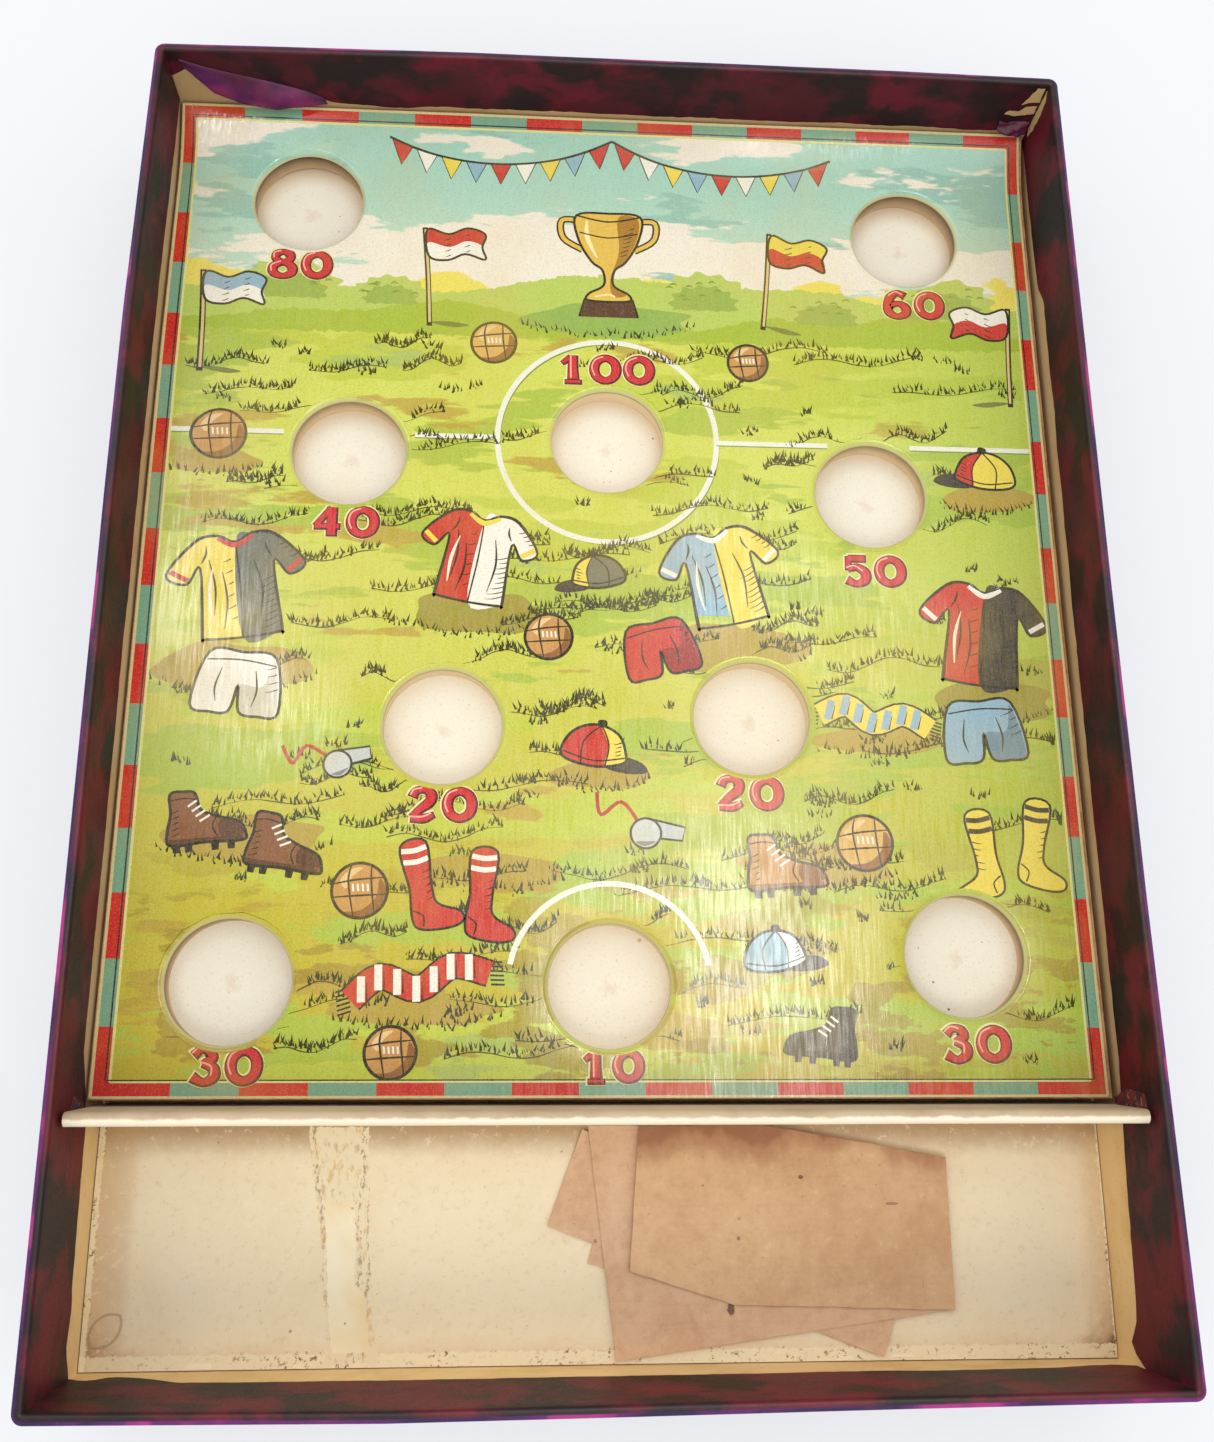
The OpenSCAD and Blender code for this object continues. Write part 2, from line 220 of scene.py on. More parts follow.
def grade(value, low, high, out_low=0.0, out_high=1.0, smooth=True):
    """Maps value from low..high to out_low..out_high, held at both ends."""
    kind = "SMOOTHSTEP" if smooth else "LINEAR"
    inputs = {"Value": value, "From Min": low, "From Max": high, "To Min": out_low, "To Max": out_high}
    return tap(value, "ShaderNodeMapRange", "Result", inputs, interpolation_type=kind)


def mix(share, below, above):
    """Lays the colour above over the colour below by share."""
    node = add(share.socket.id_data, "ShaderNodeMix", data_type="RGBA")
    wanted = {"Factor_Float": share, "A_Color": below, "B_Color": above}
    for socket in node.inputs:
        if socket.identifier in wanted:
            feed(socket, wanted[socket.identifier])
    return Wire(next(s for s in node.outputs if s.identifier == "Result_Color"))


def cloud(place, scale, detail=4.0, roughness=0.55, distortion=0.0):
    """Soft noise from 0 to 1. scale counts bumps in a metre."""
    inputs = {"Vector": place, "Scale": scale, "Detail": detail, "Roughness": roughness,
              "Distortion": distortion}
    return tap(place, "ShaderNodeTexNoise", "Fac", inputs)


def shake(place, scale, reach, **kind):
    """Noise about zero, for an uneven edge. reach is the whole swing in millimetres."""
    return (cloud(place, scale, **kind) - 0.5) * (reach * MM)


def stretch(place, x, y, z=1.0, turn_by=0.0, shift=(0.0, 0.0)):
    """Scales, turns and shifts a pattern's coordinates."""
    inputs = {"Vector": place, "Location": (*shift, 0.0), "Rotation": (0.0, 0.0, turn_by),
              "Scale": (x, y, z)}
    return tap(place, "ShaderNodeMapping", "Vector", inputs)


def group(name, gives, **numbers):
    """A shader node group for an effect: its tree, its scaled place and its other inputs."""
    tree = bpy.data.node_groups.new(name, "ShaderNodeTree")
    tree.interface.new_socket("Place", in_out="INPUT", socket_type="NodeSocketVector")
    for socket, value in {"Size": 1.0, **numbers}.items():
        made = tree.interface.new_socket(socket, in_out="INPUT", socket_type="NodeSocketFloat")
        made.default_value = value
    for socket in gives:
        tree.interface.new_socket(socket, in_out="OUTPUT", socket_type="NodeSocketFloat")
    given = {output.name: Wire(output) for output in add(tree, "NodeGroupInput").outputs}
    scaling = {0: given["Place"], "Scale": given["Size"]}
    return tree, tap(tree, "ShaderNodeVectorMath", "Vector", scaling, operation="SCALE"), given


def use(grouped, place, **inputs):
    """Places a node group beside the node that the wire place comes from."""
    made = add(place.socket.id_data, "ShaderNodeGroup", {"Place": place, **inputs}, node_tree=grouped)
    return {output.name: Wire(output) for output in made.outputs}


print("node helpers are ready")

# %% [markdown]
# ## Effects that several papers share
# Every surface of this box is old paper or board. They share three effects: the fibres of
# the sheet, the brown spots called foxing, and broad soft stains. Each is a node group, so
# one recipe serves every paper, with its own scale and strength. A group hands out only
# masks and heights, and each material decides which colours they bring.

# %% Shared effects


def make_fibre_group():
    """Fine paper tooth with longer fibres that run both ways."""
    tree, place, _ = group("paper_fibre", ["Height", "Fleck"])
    tooth = cloud(place, 2600.0, detail=3.0, roughness=0.7)
    along = cloud(stretch(place, 0.25, 1.6), 1500.0, detail=2.0)
    across = cloud(stretch(place, 1.6, 0.25), 1500.0, detail=2.0)
    height = tooth * 0.6 + maths("MAXIMUM", along, across) * 0.4
    fleck = grade(cloud(place, 900.0, detail=5.0, roughness=0.75), 0.60, 0.72)
    add(tree, "NodeGroupOutput", {"Height": height, "Fleck": fleck})
    return tree


def make_foxing_group():
    """Small brown spots in loose families, as damp leaves them in old paper."""
    tree, place, given = group("foxing", ["Spots"], Amount=0.5)
    cells = add(tree, "ShaderNodeTexVoronoi", {"Vector": place, "Scale": 210.0, "Randomness": 1.0}).outputs
    radius = grade(Wire(cells["Color"]), 0.72, 1.0, 0.0, 0.30, smooth=False)
    edge = Wire(cells["Distance"]) + cloud(place, 900.0, detail=2.0) * 0.16
    dots = grade(radius - (edge - 0.08), 0.0, 0.10)
    family = grade(cloud(place, 28.0, detail=2.0), 0.40, 0.62)
    add(tree, "NodeGroupOutput", {"Spots": dots * family * given["Amount"]})
    return tree


def make_stain_group():
    """Broad soft patches where the sheet has darkened."""
    tree, place, _ = group("soft_stains", ["Stain"])
    broad = cloud(place, 22.0, detail=5.0, roughness=0.6, distortion=0.4)
    add(tree, "NodeGroupOutput", {"Stain": grade(broad, 0.42, 0.72)})
    return tree


fibre_group = make_fibre_group()
foxing_group = make_foxing_group()
stain_group = make_stain_group()
print("shared effects:", [g.name for g in bpy.data.node_groups])

# %% [markdown]
# ## Painting a paper
# Every material here is built in the same way: a base of two colours, then coats laid over
# one another, each with a mask that says where it covers. A small class keeps the colour
# reached so far, so that a recipe reads from the first coat to the last.

# %% Recipe of a material


class Paper:
    """A material while it is painted. fibre is the size of the sheet's fibres, if it has any."""

    def __init__(self, name, fibre=1.0):
        self.made = bpy.data.materials.new(name)
        self.tree = emptied(self.made)
        self.place = tap(self.tree, "ShaderNodeTexCoord", "Object")
        if fibre:
            fibres = use(fibre_group, self.place, Size=fibre)
            self.height, self.fleck = fibres["Height"], fibres["Fleck"]

    def axis(self, letter):
        return tap(self.tree, "ShaderNodeSeparateXYZ", letter, {"Vector": self.place})

    def attribute(self, name, output="Fac"):
        return tap(self.tree, "ShaderNodeAttribute", output, attribute_name=name)

    def stain(self, size):
        return use(stain_group, self.place, Size=size)["Stain"]

    def base(self, share, below, above):
        self.colour = mix(share, below, above)

    def coat(self, share, *colour):
        self.colour = mix(share, self.colour, colour)

    def spots(self, size, amount, *colour):
        self.coat(use(foxing_group, self.place, Size=size, Amount=amount)["Spots"], *colour)

    def finish(self, roughness, depth, strength, height=None, shine=0.5):
        """Adds the Principled shader. The depth of the relief is in millimetres."""
        relief = {"Height": height or self.height, "Distance": depth * MM, "Strength": strength}
        inputs = {"Base Color": self.colour, "Roughness": roughness, "Specular IOR Level": shine,
                  "Normal": tap(self.tree, "ShaderNodeBump", "Normal", relief)}
        shader = tap(self.tree, "ShaderNodeBsdfPrincipled", "BSDF", inputs)
        add(self.tree, "ShaderNodeOutputMaterial", {"Surface": shader})
        return self.made


print("the recipe is ready")

# %% [markdown]
# ## Strawboard
# Strawboard is pressed straw pulp: tan, matt, and full of short pale and dark bits. It shows
# on the bare walls, in the cut edge of the playing board and inside the pockets. Noise makes
# the bits, and a wider noise keeps the sheet from being one even colour.

# %% Strawboard material


def make_strawboard():
    look = Paper("strawboard")
    look.base(look.stain(1.6), (240, 208, 149), (222, 185, 119))
    look.coat(grade(cloud(look.place, 700.0, roughness=0.8), 0.60, 0.70, 0.0, 0.7), 240, 214, 166)
    look.coat(look.fleck * 0.55, 128, 92, 54)
    # Painted shade: strawboard on the playing board's side of the divider is darker brown.
    painted_board_side_shade = grade(look.axis("Y"), divider_low.y, divider_high.y, 0.0, 0.45)
    look.coat(painted_board_side_shade, 120, 80, 48)
    return look.finish(0.92, 0.12, 0.7)


def make_pocket_board():
    """Strawboard at the plate's edge. In the pockets it is lined with cream paper, and the
    attribute hollow says how dark the painted shade under each pocket's lip is."""
    look = Paper("pocket_board")
    hollow = look.attribute("hollow")
    layers = cloud(stretch(look.place, 0.2, 0.2, 3.0), 900.0, detail=3.0)
    board = mix(grade(layers, 0.40, 0.62), (196, 146, 92), (166, 112, 62))
    # Painted shade on the pocket walls: dark brown just under the lip, fading to cream towards the foot.
    under_lip = board_high.z - 0.9 * MM
    foot = under_lip - (hollow * (5.0 * MM) + 1.2 * MM)
    level = look.axis("Z") + shake(look.place, 300.0, 1.2)
    light = maths("POWER", grade(level, foot, under_lip, 1.0, 0.0, smooth=False), 0.9)
    shade = (1.0 - light) * grade(hollow, 0.0, 0.9, 0.36, 0.96, smooth=False)
    # Painted shade: the cream of the pocket walls turns tan in the pockets near the sides.
    shaded_wall_colour = mix(hollow * 0.7, (226, 203, 164), (208, 175, 130))
    look.base(grade(hollow, 0.005, 0.03), board, mix(shade, shaded_wall_colour, (72, 42, 24)))
    look.coat(look.fleck * 0.3, 128, 92, 56)
    return look.finish(0.9, 0.10, 0.7)


strawboard = make_strawboard()
pocket_board = make_pocket_board()
print("made", strawboard.name, "and", pocket_board.name)

# %% [markdown]
# ## The printed ground
# The print is a colour lithograph: flat inks laid one over another, each with sharp wavy
# edges and a grain of fine dots. The ground under the drawn things is a sky with wisps of
# cloud, low hills and a striped turf. Each ink layer is a mask: noise, stretched sideways for
# turf or slanted for cloud, and cut at a threshold so that its edge stays crisp. The varnish
# on top is finely streaked, and where it mirrors a window it turns silky and pale.

# %% Printed ground material
HORIZON = 0.104
VARNISH_SHINE = 0.13
LITHO_EDGE = 0.012


def make_varnish_group():
    tree, place, _ = group("old_varnish", ["Roughness", "Height"])
    combed = cloud(stretch(place, 1.0, 0.08, turn_by=0.06), 1500.0, detail=3.0)
    crossed = cloud(stretch(place, 0.3, 1.0), 1500.0, detail=2.0)
    pools = cloud(place, 55.0, detail=3.0)
    height = combed * 0.6 + crossed * 0.3 + pools * 2.2
    roughness = grade(pools * 0.4 + combed * 0.6, 0.38, 0.62, 0.14, 0.36)
    add(tree, "NodeGroupOutput", {"Roughness": roughness, "Height": height})
    return tree


def layer(field, threshold, share=1.0):
    """A crisp ink mask where the field is above the threshold."""
    return grade(field, threshold - LITHO_EDGE, threshold + LITHO_EDGE, 0.0, share)


def paint_sky(place, y):
    sky = mix(grade(y, 0.11, 0.165), (196, 220, 194), (166, 212, 190))
    drift = cloud(stretch(place, 0.45, 1.7, turn_by=-0.35), 36.0)
    sky = mix(layer(drift, 0.56, 0.7), sky, (144, 190, 172))
    wisps = cloud(stretch(place, 0.4, 1.6, turn_by=-0.4, shift=(0.3, 0.1)), 30.0, detail=5.0, roughness=0.6)
    sky = mix(layer(wisps - grade(y, 0.112, 0.150, -0.11, 0.09), 0.50), sky, (244, 234, 212))
    glow = cloud(stretch(place, 0.8, 1.4, shift=(0.7, 0.2)), 34.0, detail=3.0)
    return mix(layer(glow - grade(y, 0.104, 0.128, -0.10, 0.25), 0.50), sky, (240, 222, 100))


def paint_turf(place, x, y):
    turf = mix(grade(y, -0.10, 0.06), (198, 182, 56), (211, 216, 92))
    bands = cloud(stretch(place, 0.35, 1.5), 42.0, roughness=0.6)
    turf = mix(layer(bands, 0.55), turf, (178, 194, 72))
    more = cloud(stretch(place, 0.4, 1.7, shift=(0.4, 0.9)), 36.0)
    turf = mix(layer(more, 0.57), turf, (196, 205, 74))
    turf = mix(layer(more, 0.67, 0.7), turf, (170, 188, 104))
    worn = cloud(stretch(place, 0.5, 2.0, shift=(0.9, 0.3)), 30.0, detail=5.0)
    turf = mix(layer(worn, 0.60, 0.85), turf, (190, 160, 66))
    turf = mix(grade(x, 0.04, 0.11, 0.0, 0.45), turf, (160, 190, 72))
    ochre = cloud(stretch(place, 0.6, 1.6, shift=(2.9, 1.3)), 60.0, detail=5.0)
    near_half = grade(y, -0.03, -0.08)
    return mix(layer(ochre, 0.54, 0.75) * near_half, turf, (166, 140, 54))


def hill_line(x, base, height, waves, phase):
    """Height of a ridge across the print: two slow waves."""
    slow, fast = maths("SINE", x * waves + phase), maths("SINE", x * (waves * 2.7) + phase * 2)
    return (slow + fast * 0.45) * height + base


def litho_grain(look):
    """The grain of fine dots and the yellowing that lie over every ink."""
    dots = cloud(look.place, 3200.0, detail=2.0, roughness=0.8)
    look.coat(grade(dots, 0.52, 0.66, 0.0, 0.13), 244, 236, 128)
    look.coat(grade(dots, 0.36, 0.46, 0.26, 0.0), 96, 92, 36)
    look.coat(look.stain(1.2) * 0.20, 214, 182, 84)


def varnished(look):
    varnish = use(varnish_group, look.place)
    return look.finish(varnish["Roughness"], 0.04, 0.8, varnish["Height"], VARNISH_SHINE)


def make_printed_paper():
    look = Paper("printed_paper", fibre=None)
    x, y, z = (look.axis(letter) for letter in "XYZ")
    far_ridge = hill_line(x, HORIZON + 0.010, 3.4 * MM, 34.0, 1.2)
    near_ridge = hill_line(x, HORIZON + 0.001, 2.6 * MM, 51.0, 4.0)
    over = y + shake(look.place, 420.0, 3, detail=3.0)
    edge = 0.1 * MM
    look.colour = paint_sky(look.place, y)
    look.coat(grade(far_ridge - over, -edge, edge), 188, 206, 96)
    look.coat(grade(near_ridge - over, -edge, edge), 170, 190, 62)
    field = grade(HORIZON - 0.006 - over, -edge, 3 * edge)
    look.colour = mix(field, look.colour, paint_turf(look.place, x, y))
    litho_grain(look)
    # Painted highlight and wear: the pressed lip of each pocket is pale below its top edge, and dark brown at
    # its foot.
    look.coat(grade(z, field_z - 0.5 * MM, field_z - 0.01 * MM, 0.8, 0.0), 206, 202, 146)
    look.coat(grade(z, field_z - 1.3 * MM, field_z - 0.9 * MM, 0.7, 0.0), 132, 102, 62)
    return varnished(look)


def make_ink():
    """One material for all inks: each shape carries its own colour as a mesh attribute."""
    look = Paper("printing_ink", fibre=None)
    look.colour = look.attribute("ink", "Color")
    litho_grain(look)
    return varnished(look)


varnish_group = make_varnish_group()
printed_paper = make_printed_paper()
printing_ink = make_ink()
print("made", printed_paper.name, "and", printing_ink.name)

# %% [markdown]
# ## Cream papers and cards
# The floor lining, the divider and the card under the pockets are the same cream family. One
# function makes the plain ones, and its arguments say how spotted and how dark each one is.
# The card has a smudge and a painted shade in each pocket, and the floor is the dirtiest: it
# has brown corners, dirty edges, a painted shade along the divider's foot and two pale strips
# where its rim has flaked.

# %% Cream materials
# The pencilled mark is the outline of two circles: middle and half sizes in mm
RING_CIRCLES = [(-121.0, -157.6, 5.2, 5.2), (-118.0, -160.4, 5.0, 5.0)]
# Where the dirt along the floor's left edge starts to fade, and where it ends: x in metres
LEFT_DIRT = (-0.1170, -0.1135)


def make_cream(name, clean, aged, spot_amount, stain_share):
    look = Paper(name, 1.3)
    look.base(look.stain(1.0) * stain_share, clean, aged)
    look.spots(0.8, spot_amount * 0.45, 196, 158, 112)
    look.spots(2.2, spot_amount, 146, 100, 62)
    look.coat(look.fleck * 0.10, 150, 110, 70)
    return look.finish(0.85, 0.05, 0.5)


def nearest_pocket(place):
    """Distance from a place to the middle of the nearest pocket, seen from above."""
    level = vectors("MULTIPLY", place, (1.0, 1.0, 0.0))
    nearest = 1.0
    for centre in pockets.values():
        away = vectors("DISTANCE", level, (centre.x, centre.y, 0.0), output="Value")
        nearest = maths("MINIMUM", away, nearest)
    return nearest


def make_pocket_card():
    """Cream card with a rusty smudge in the middle of each pocket, specks round it and a painted shade on
    each pocket's far side.
    """
    look = Paper("cream_card", 1.3)
    look.base(look.stain(1.6) * 0.5, (246, 238, 217), (240, 228, 201))
    smudge = nearest_pocket(look.place) + shake(look.place, 420.0, 9, roughness=0.7)
    look.coat(grade(smudge, 0.5 * MM, 2.6 * MM, 0.22, 0.0), 206, 156, 104)
    # Painted shade on the card along each pocket's far wall, stronger in the far pockets.
    lowered = vectors("ADD", look.place, (0.0, 2.4 * MM, 0.0))
    far_side_shade = grade(nearest_pocket(lowered), 11.0 * MM, 18.0 * MM, 0.0, 0.62)
    look.coat(far_side_shade * grade(look.axis("Y"), 0.0, 0.12, 0.15, 1.0), 206, 172, 124)
    grains = cloud(look.place, 1300.0, detail=3.0, roughness=0.7)
    look.coat(grade(grains, 0.58, 0.66, 0.0, 0.4), 214, 184, 140)
    look.spots(1.4, 0.75, 200, 160, 114)
    look.spots(2.8, 1.0, 140, 92, 56)
    look.coat(look.fleck * 0.10, 150, 110, 70)
    return look.finish(0.85, 0.05, 0.5)


def make_divider_paper():
    """Folded card: its near edge is bright, and the far half of its top has a painted shade with soft stains.
    """
    look = Paper("divider_paper", 1.3)
    along = look.axis("Y") + shake(look.place, 260.0, 1.4)
    middle = divider_low.y + 1.5 * MM
    # Painted shade over the far half of the fold and the far face, mixed with soft stains.
    far_half_shade_and_stain = mix(look.stain(1.8), (206, 182, 148), (186, 160, 122))
    look.base(grade(along, middle - 0.3 * MM, middle + 0.4 * MM), (246, 235, 207), far_half_shade_and_stain)
    look.spots(2.4, 0.7, 150, 106, 66)
    look.coat(look.fleck * 0.14, 150, 110, 70)
    return look.finish(0.85, 0.06, 0.6)


def mark_distance(place, x, y, wide, tall):
    """Distance from one point of the floor as a share of a mark's size, all in millimetres."""
    moved = vectors("SUBTRACT", place, (x * MM, y * MM, 0.0))
    scaled = vectors("MULTIPLY", moved, (1 / (wide * MM), 1 / (tall * MM), 0.0))
    return vectors("LENGTH", scaled, output="Value")


def make_lining():
    """Cream paper with brown corners, dirty edges, a painted shade along the divider's foot and a faint
    pencilled ring.
    """
    look = Paper("floor_lining_paper", 1.1)
    place, x, y = look.place, look.axis("X"), look.axis("Y")
    look.base(look.stain(1.4) * 0.7, (250, 234, 201), (242, 221, 182))
    wobble = shake(place, 160.0, 6, roughness=0.7)
    side_gap = inner_x + 1.0 * MM - abs(x)
    near_gap = y + (inner_y + 1.0 * MM)
    edge_gap = maths("MINIMUM", side_gap, near_gap) + wobble
    look.coat(grade(edge_gap, 0.5 * MM, 8 * MM, 0.45, 0.0), 216, 180, 128)
    corner = side_gap + near_gap + wobble * 3.0
    look.coat(grade(corner, 3 * MM, 17 * MM, 0.75, 0.0), 170, 122, 72)
    look.coat(grade(corner, 2 * MM, 7 * MM, 0.9, 0.0), 84, 54, 30)
    # Painted shade on the floor along the foot of the divider.
    foot_gap = divider_low.y - y + wobble * 0.7
    look.coat(grade(foot_gap, 0.2 * MM, 9.5 * MM, 0.85, 0.0), 176, 138, 92)
    look.coat(grade(x + wobble * 0.3, *LEFT_DIRT, 0.38, 0.0), 206, 174, 126)
    one, other = (mark_distance(place, *circle) for circle in RING_CIRCLES)
    ring = abs(maths("MAXIMUM", one, other) - 1.0)
    look.coat(grade(ring, 0.03, 0.09, 0.5, 0.0), 150, 116, 78)
    look.spots(2.0, 0.7, 150, 104, 64)
    look.spots(5.5, 0.7, 166, 124, 82)
    mottle = cloud(place, 480.0, detail=5.0, roughness=0.75)
    look.coat(grade(mottle, 0.54, 0.72, 0.0, 0.35), 214, 182, 138)
    look.coat(grade(mottle, 0.32, 0.44, 0.5, 0.0), 252, 240, 214)
    jagged = shake(place, 620.0, 2.4, roughness=0.75)
    dotted = grade(cloud(place, 800.0, roughness=0.75), 0.56, 0.62)
    clumps = grade(cloud(place, 120.0, detail=3.0), 0.42, 0.60, 0.1, 1.0)
    for gap, reach in ((near_gap, 3.9 * MM), (side_gap, 0.1 * MM)):
        flaked = grade(gap + jagged, reach - 0.15 * MM, reach + 0.15 * MM, 0.8, 0.0)
        look.coat(flaked, 252, 240, 206)
        dots = dotted * grade(gap, reach, reach + 1.0 * MM, 1.0, 0.0)
        look.coat(dots * clumps, 156, 112, 64)
    look.coat(look.fleck * 0.36, 160, 122, 82)
    return look.finish(0.9, 0.06, 0.6)


cream_card = make_pocket_card()
divider_paper = make_divider_paper()
lining_paper = make_lining()
base_paper_look = make_cream("base_paper", (206, 186, 150), (178, 152, 112), 0.6, 1.0)
stay_paper = make_cream("stay_paper", (214, 196, 160), (190, 164, 122), 0.4, 0.8)
strip_paper = make_cream("strip_paper", (255, 244, 212), (242, 214, 152), 0.9, 1.0)
print("made the cream papers")

# %% [markdown]
# ## Kraft paper
# The loose slips are cut from brown wrapping paper: a warm brown with a faint machine line
# and many tiny darker bits. The colours are arguments, because the leaf that was folded
# inside kept more of its orange.

# %% Kraft material
# Where the darker far edge of the upper leaf begins and is full, in two inks: y in metres
EDGE_SHADE = (-0.124, -0.117)
EDGE_SHADE_DARK = (-0.1175, -0.1145)


def mark_at(place, x, y, wide, tall):
    """A soft-edged ragged mark round one point."""
    away = mark_distance(place, x, y, wide, tall) + (cloud(place, 900.0) - 0.5) * 0.9
    return grade(away, 0.8, 1.1, 1.0, 0.0)


def make_kraft(name, base, shade, marks=(), shaded_edge=False):
    look = Paper(name, 0.9)
    place = look.place
    look.base(look.stain(2.0), base, shade)
    mottle = cloud(place, 330.0, detail=5.0, roughness=0.7)
    look.coat(grade(mottle, 0.46, 0.66, 0.0, 0.35), 196, 146, 104)
    look.coat(grade(mottle, 0.30, 0.44, 0.35, 0.0), 238, 206, 168)
    lines = cloud(stretch(place, 0.06, 1.0, turn_by=0.13), 900.0, detail=2.0)
    look.coat(grade(lines, 0.50, 0.80, 0.0, 0.10), 160, 118, 84)
    look.coat(look.fleck * 0.45, 126, 84, 56)
    look.spots(1.2, 0.8, 112, 62, 34)
    if shaded_edge:
        level = look.axis("Y") + shake(stretch(place, 1.0, 0.5), 70.0, 26)
        look.coat(grade(level, *EDGE_SHADE, 0.0, 0.55), 158, 98, 62)
        look.coat(grade(level, *EDGE_SHADE_DARK, 0.0, 0.45), 124, 68, 40)
    for x, y, wide, tall, share in marks:
        look.coat(mark_at(place, x, y, wide, tall) * share, 92, 44, 26)
    return look.finish(0.88, 0.07, 0.6)


# Place in mm, half width, half height and strength of each mark on the leaves
INNER_MARKS = [(28.8, -155.6, 1.0, 1.6, 0.85), (-4.0, -140.0, 0.5, 0.5, 0.5)]
OUTER_MARKS = [(46.9, -125.4, 0.7, 0.5, 0.8), (69.4, -131.8, 1.6, 0.4, 0.5), (31.0, -139.6, 0.5, 0.5, 0.6),
               (62.0, -112.9, 0.4, 0.4, 0.5)]
kraft_outer = make_kraft("kraft_outer", (222, 180, 134), (208, 162, 116), OUTER_MARKS, shaded_edge=True)
kraft_inner = make_kraft("kraft_inner", (224, 184, 146), (212, 168, 128), INNER_MARKS)
print("made two kraft papers")

# %% [markdown]
# ## Marbled covering paper
# The paper that wraps the box is marbled in maroon and near black, in blotches drawn out
# along each side. Where hands have rubbed it, along the outer rim and the outer corners, it
# has gone violet and navy with a few bright magenta patches. The pattern must follow the sheet
# round the rim, so this material reads the piece's own unwrapped map, and a point attribute
# named wear says how rubbed each place is. Two scraps have recipes of their own.

# %% Marbled paper material
# Where the lines of glue run along the worn strip on the floor: x in metres
GLUE_LINES = (-0.0586, -0.0610)
LEFT_GLUE_LINE = -0.0697


def make_marbled():
    look = Paper("marbled_paper")
    wear = look.attribute("wear")
    wrap = tap(look.tree, "ShaderNodeUVMap", "UV", uv_map="wrap")
    warp = tap(wrap, "ShaderNodeTexNoise", "Color", {"Vector": wrap, "Scale": 9.0, "Detail": 3.0})
    pushed = vectors("MULTIPLY_ADD", warp, (0.07, 0.05, 0.0), wrap)
    blotch = cloud(stretch(pushed, 1.0, 1.3), 3.0, detail=5.0, roughness=0.58, distortion=0.25)
    second = stretch(pushed, 1.0, 1.2, shift=(3.0, 1.0))
    second = cloud(second, 4.2, detail=6.0, roughness=0.62, distortion=0.25)
    look.base(grade(blotch, 0.44, 0.56), (37, 23, 27), (74, 21, 33))
    look.coat(grade(blotch, 0.58, 0.72, 0.0, 0.6), 80, 36, 35)
    look.coat(grade(second, 0.50, 0.64, 0.0, 0.7), 108, 20, 42)
    look.coat(grade(second, 0.38, 0.47, 0.8, 0.0), 34, 22, 27)
    nearness = grade(look.axis("Y"), 0.02, -0.14, 0.0, 0.42)
    look.coat(nearness * grade(blotch, 0.47, 0.58), 118, 24, 38)
    patches = cloud(stretch(pushed, 1.0, 0.8, shift=(7.0, 4.0)), 3.4, detail=3.0)
    rubbed = mix(grade(patches, 0.42, 0.50), (54, 36, 84), (102, 40, 112))
    rubbed = mix(grade(patches, 0.53, 0.60), rubbed, (178, 56, 134))
    uneven = wear + (blotch - 0.5) * 0.7
    look.colour = mix(grade(uneven, 0.35, 0.80, 0.0, 0.9), look.colour, rubbed)
    chafe = grade(cloud(look.place, 1500.0, roughness=0.7), 0.60, 0.72, 0.0, 0.35)
    look.coat(chafe * wear, 186, 110, 166)
    return look.finish(grade(look.height, 0.3, 0.7, 0.42, 0.60), 0.05, 0.7, shine=0.17)


def make_marbled_scrap():
    """A dark red scrap of covering paper that has lost most of its colour."""
    look = Paper("marbled_scrap")
    look.base(grade(cloud(look.place, 260.0), 0.42, 0.55), (62, 26, 32), (112, 34, 40))
    look.coat(grade(cloud(look.place, 700.0, roughness=0.7), 0.58, 0.66), 176, 140, 104)
    return look.finish(0.75, 0.05, 0.7)


def make_strip_border():
    """Ragged border of the worn strip, with three broken brown lines of glue."""
    look = Paper("strip_border")
    patch = cloud(stretch(look.place, 1.8, 0.8), 240.0, detail=5.0, roughness=0.7)
    look.base(grade(patch, 0.34, 0.44), (222, 194, 148), (245, 230, 194))
    spots = cloud(stretch(look.place, 1.5, 0.6), 1000.0, roughness=0.75)
    across = look.axis("X") + shake(look.place, 90.0, 3.0)
    left_line = LEFT_GLUE_LINE - grade(look.axis("Y"), -0.140, -0.113, 0.0, 3.4 * MM)
    for line_x in (*GLUE_LINES, left_line):
        spots = spots + grade(abs(across - line_x), 0.1 * MM, 1.1 * MM, 0.15, 0.0)
    look.coat(grade(spots, 0.62, 0.72, 0.0, 0.7), 158, 114, 70)
    look.coat(grade(patch, 0.54, 0.66, 0.0, 0.8), 228, 184, 108)
    return look.finish(0.85, 0.08, 0.8)


marbled = make_marbled()
marbled_scrap = make_marbled_scrap()
strip_border = make_strip_border()
print("made", marbled.name, "and two scrap materials")

# %% [markdown]
# ## Helpers for meshes
# Most pieces here are sheets. A sheet is two grids of points, a front and a back, joined
# round their edges into one closed skin. The same helper serves the covers, the divider, the
# curled scraps on the far wall and the bend of the folded slip, and it also writes the
# unwrapped map and the wear attribute when it is given them.

# %% Mesh helpers


def link_piece(mesh, name, body, look, stands_for=()):
    """Puts a finished mesh in the scene with its finish and its body, and hides the nodes it stands for."""
    piece = bpy.data.objects.new(name, mesh)
    bpy.context.scene.collection.objects.link(piece)
    if look is not None:
        mesh.materials.append(look)
    if stands_for:
        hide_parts(*stands_for)
    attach(piece, body)
    return piece


def new_mesh(name, vertices, faces):
    mesh = bpy.data.meshes.new(name)
    mesh.from_pydata([tuple(v) for v in vertices], [], faces)
    return mesh


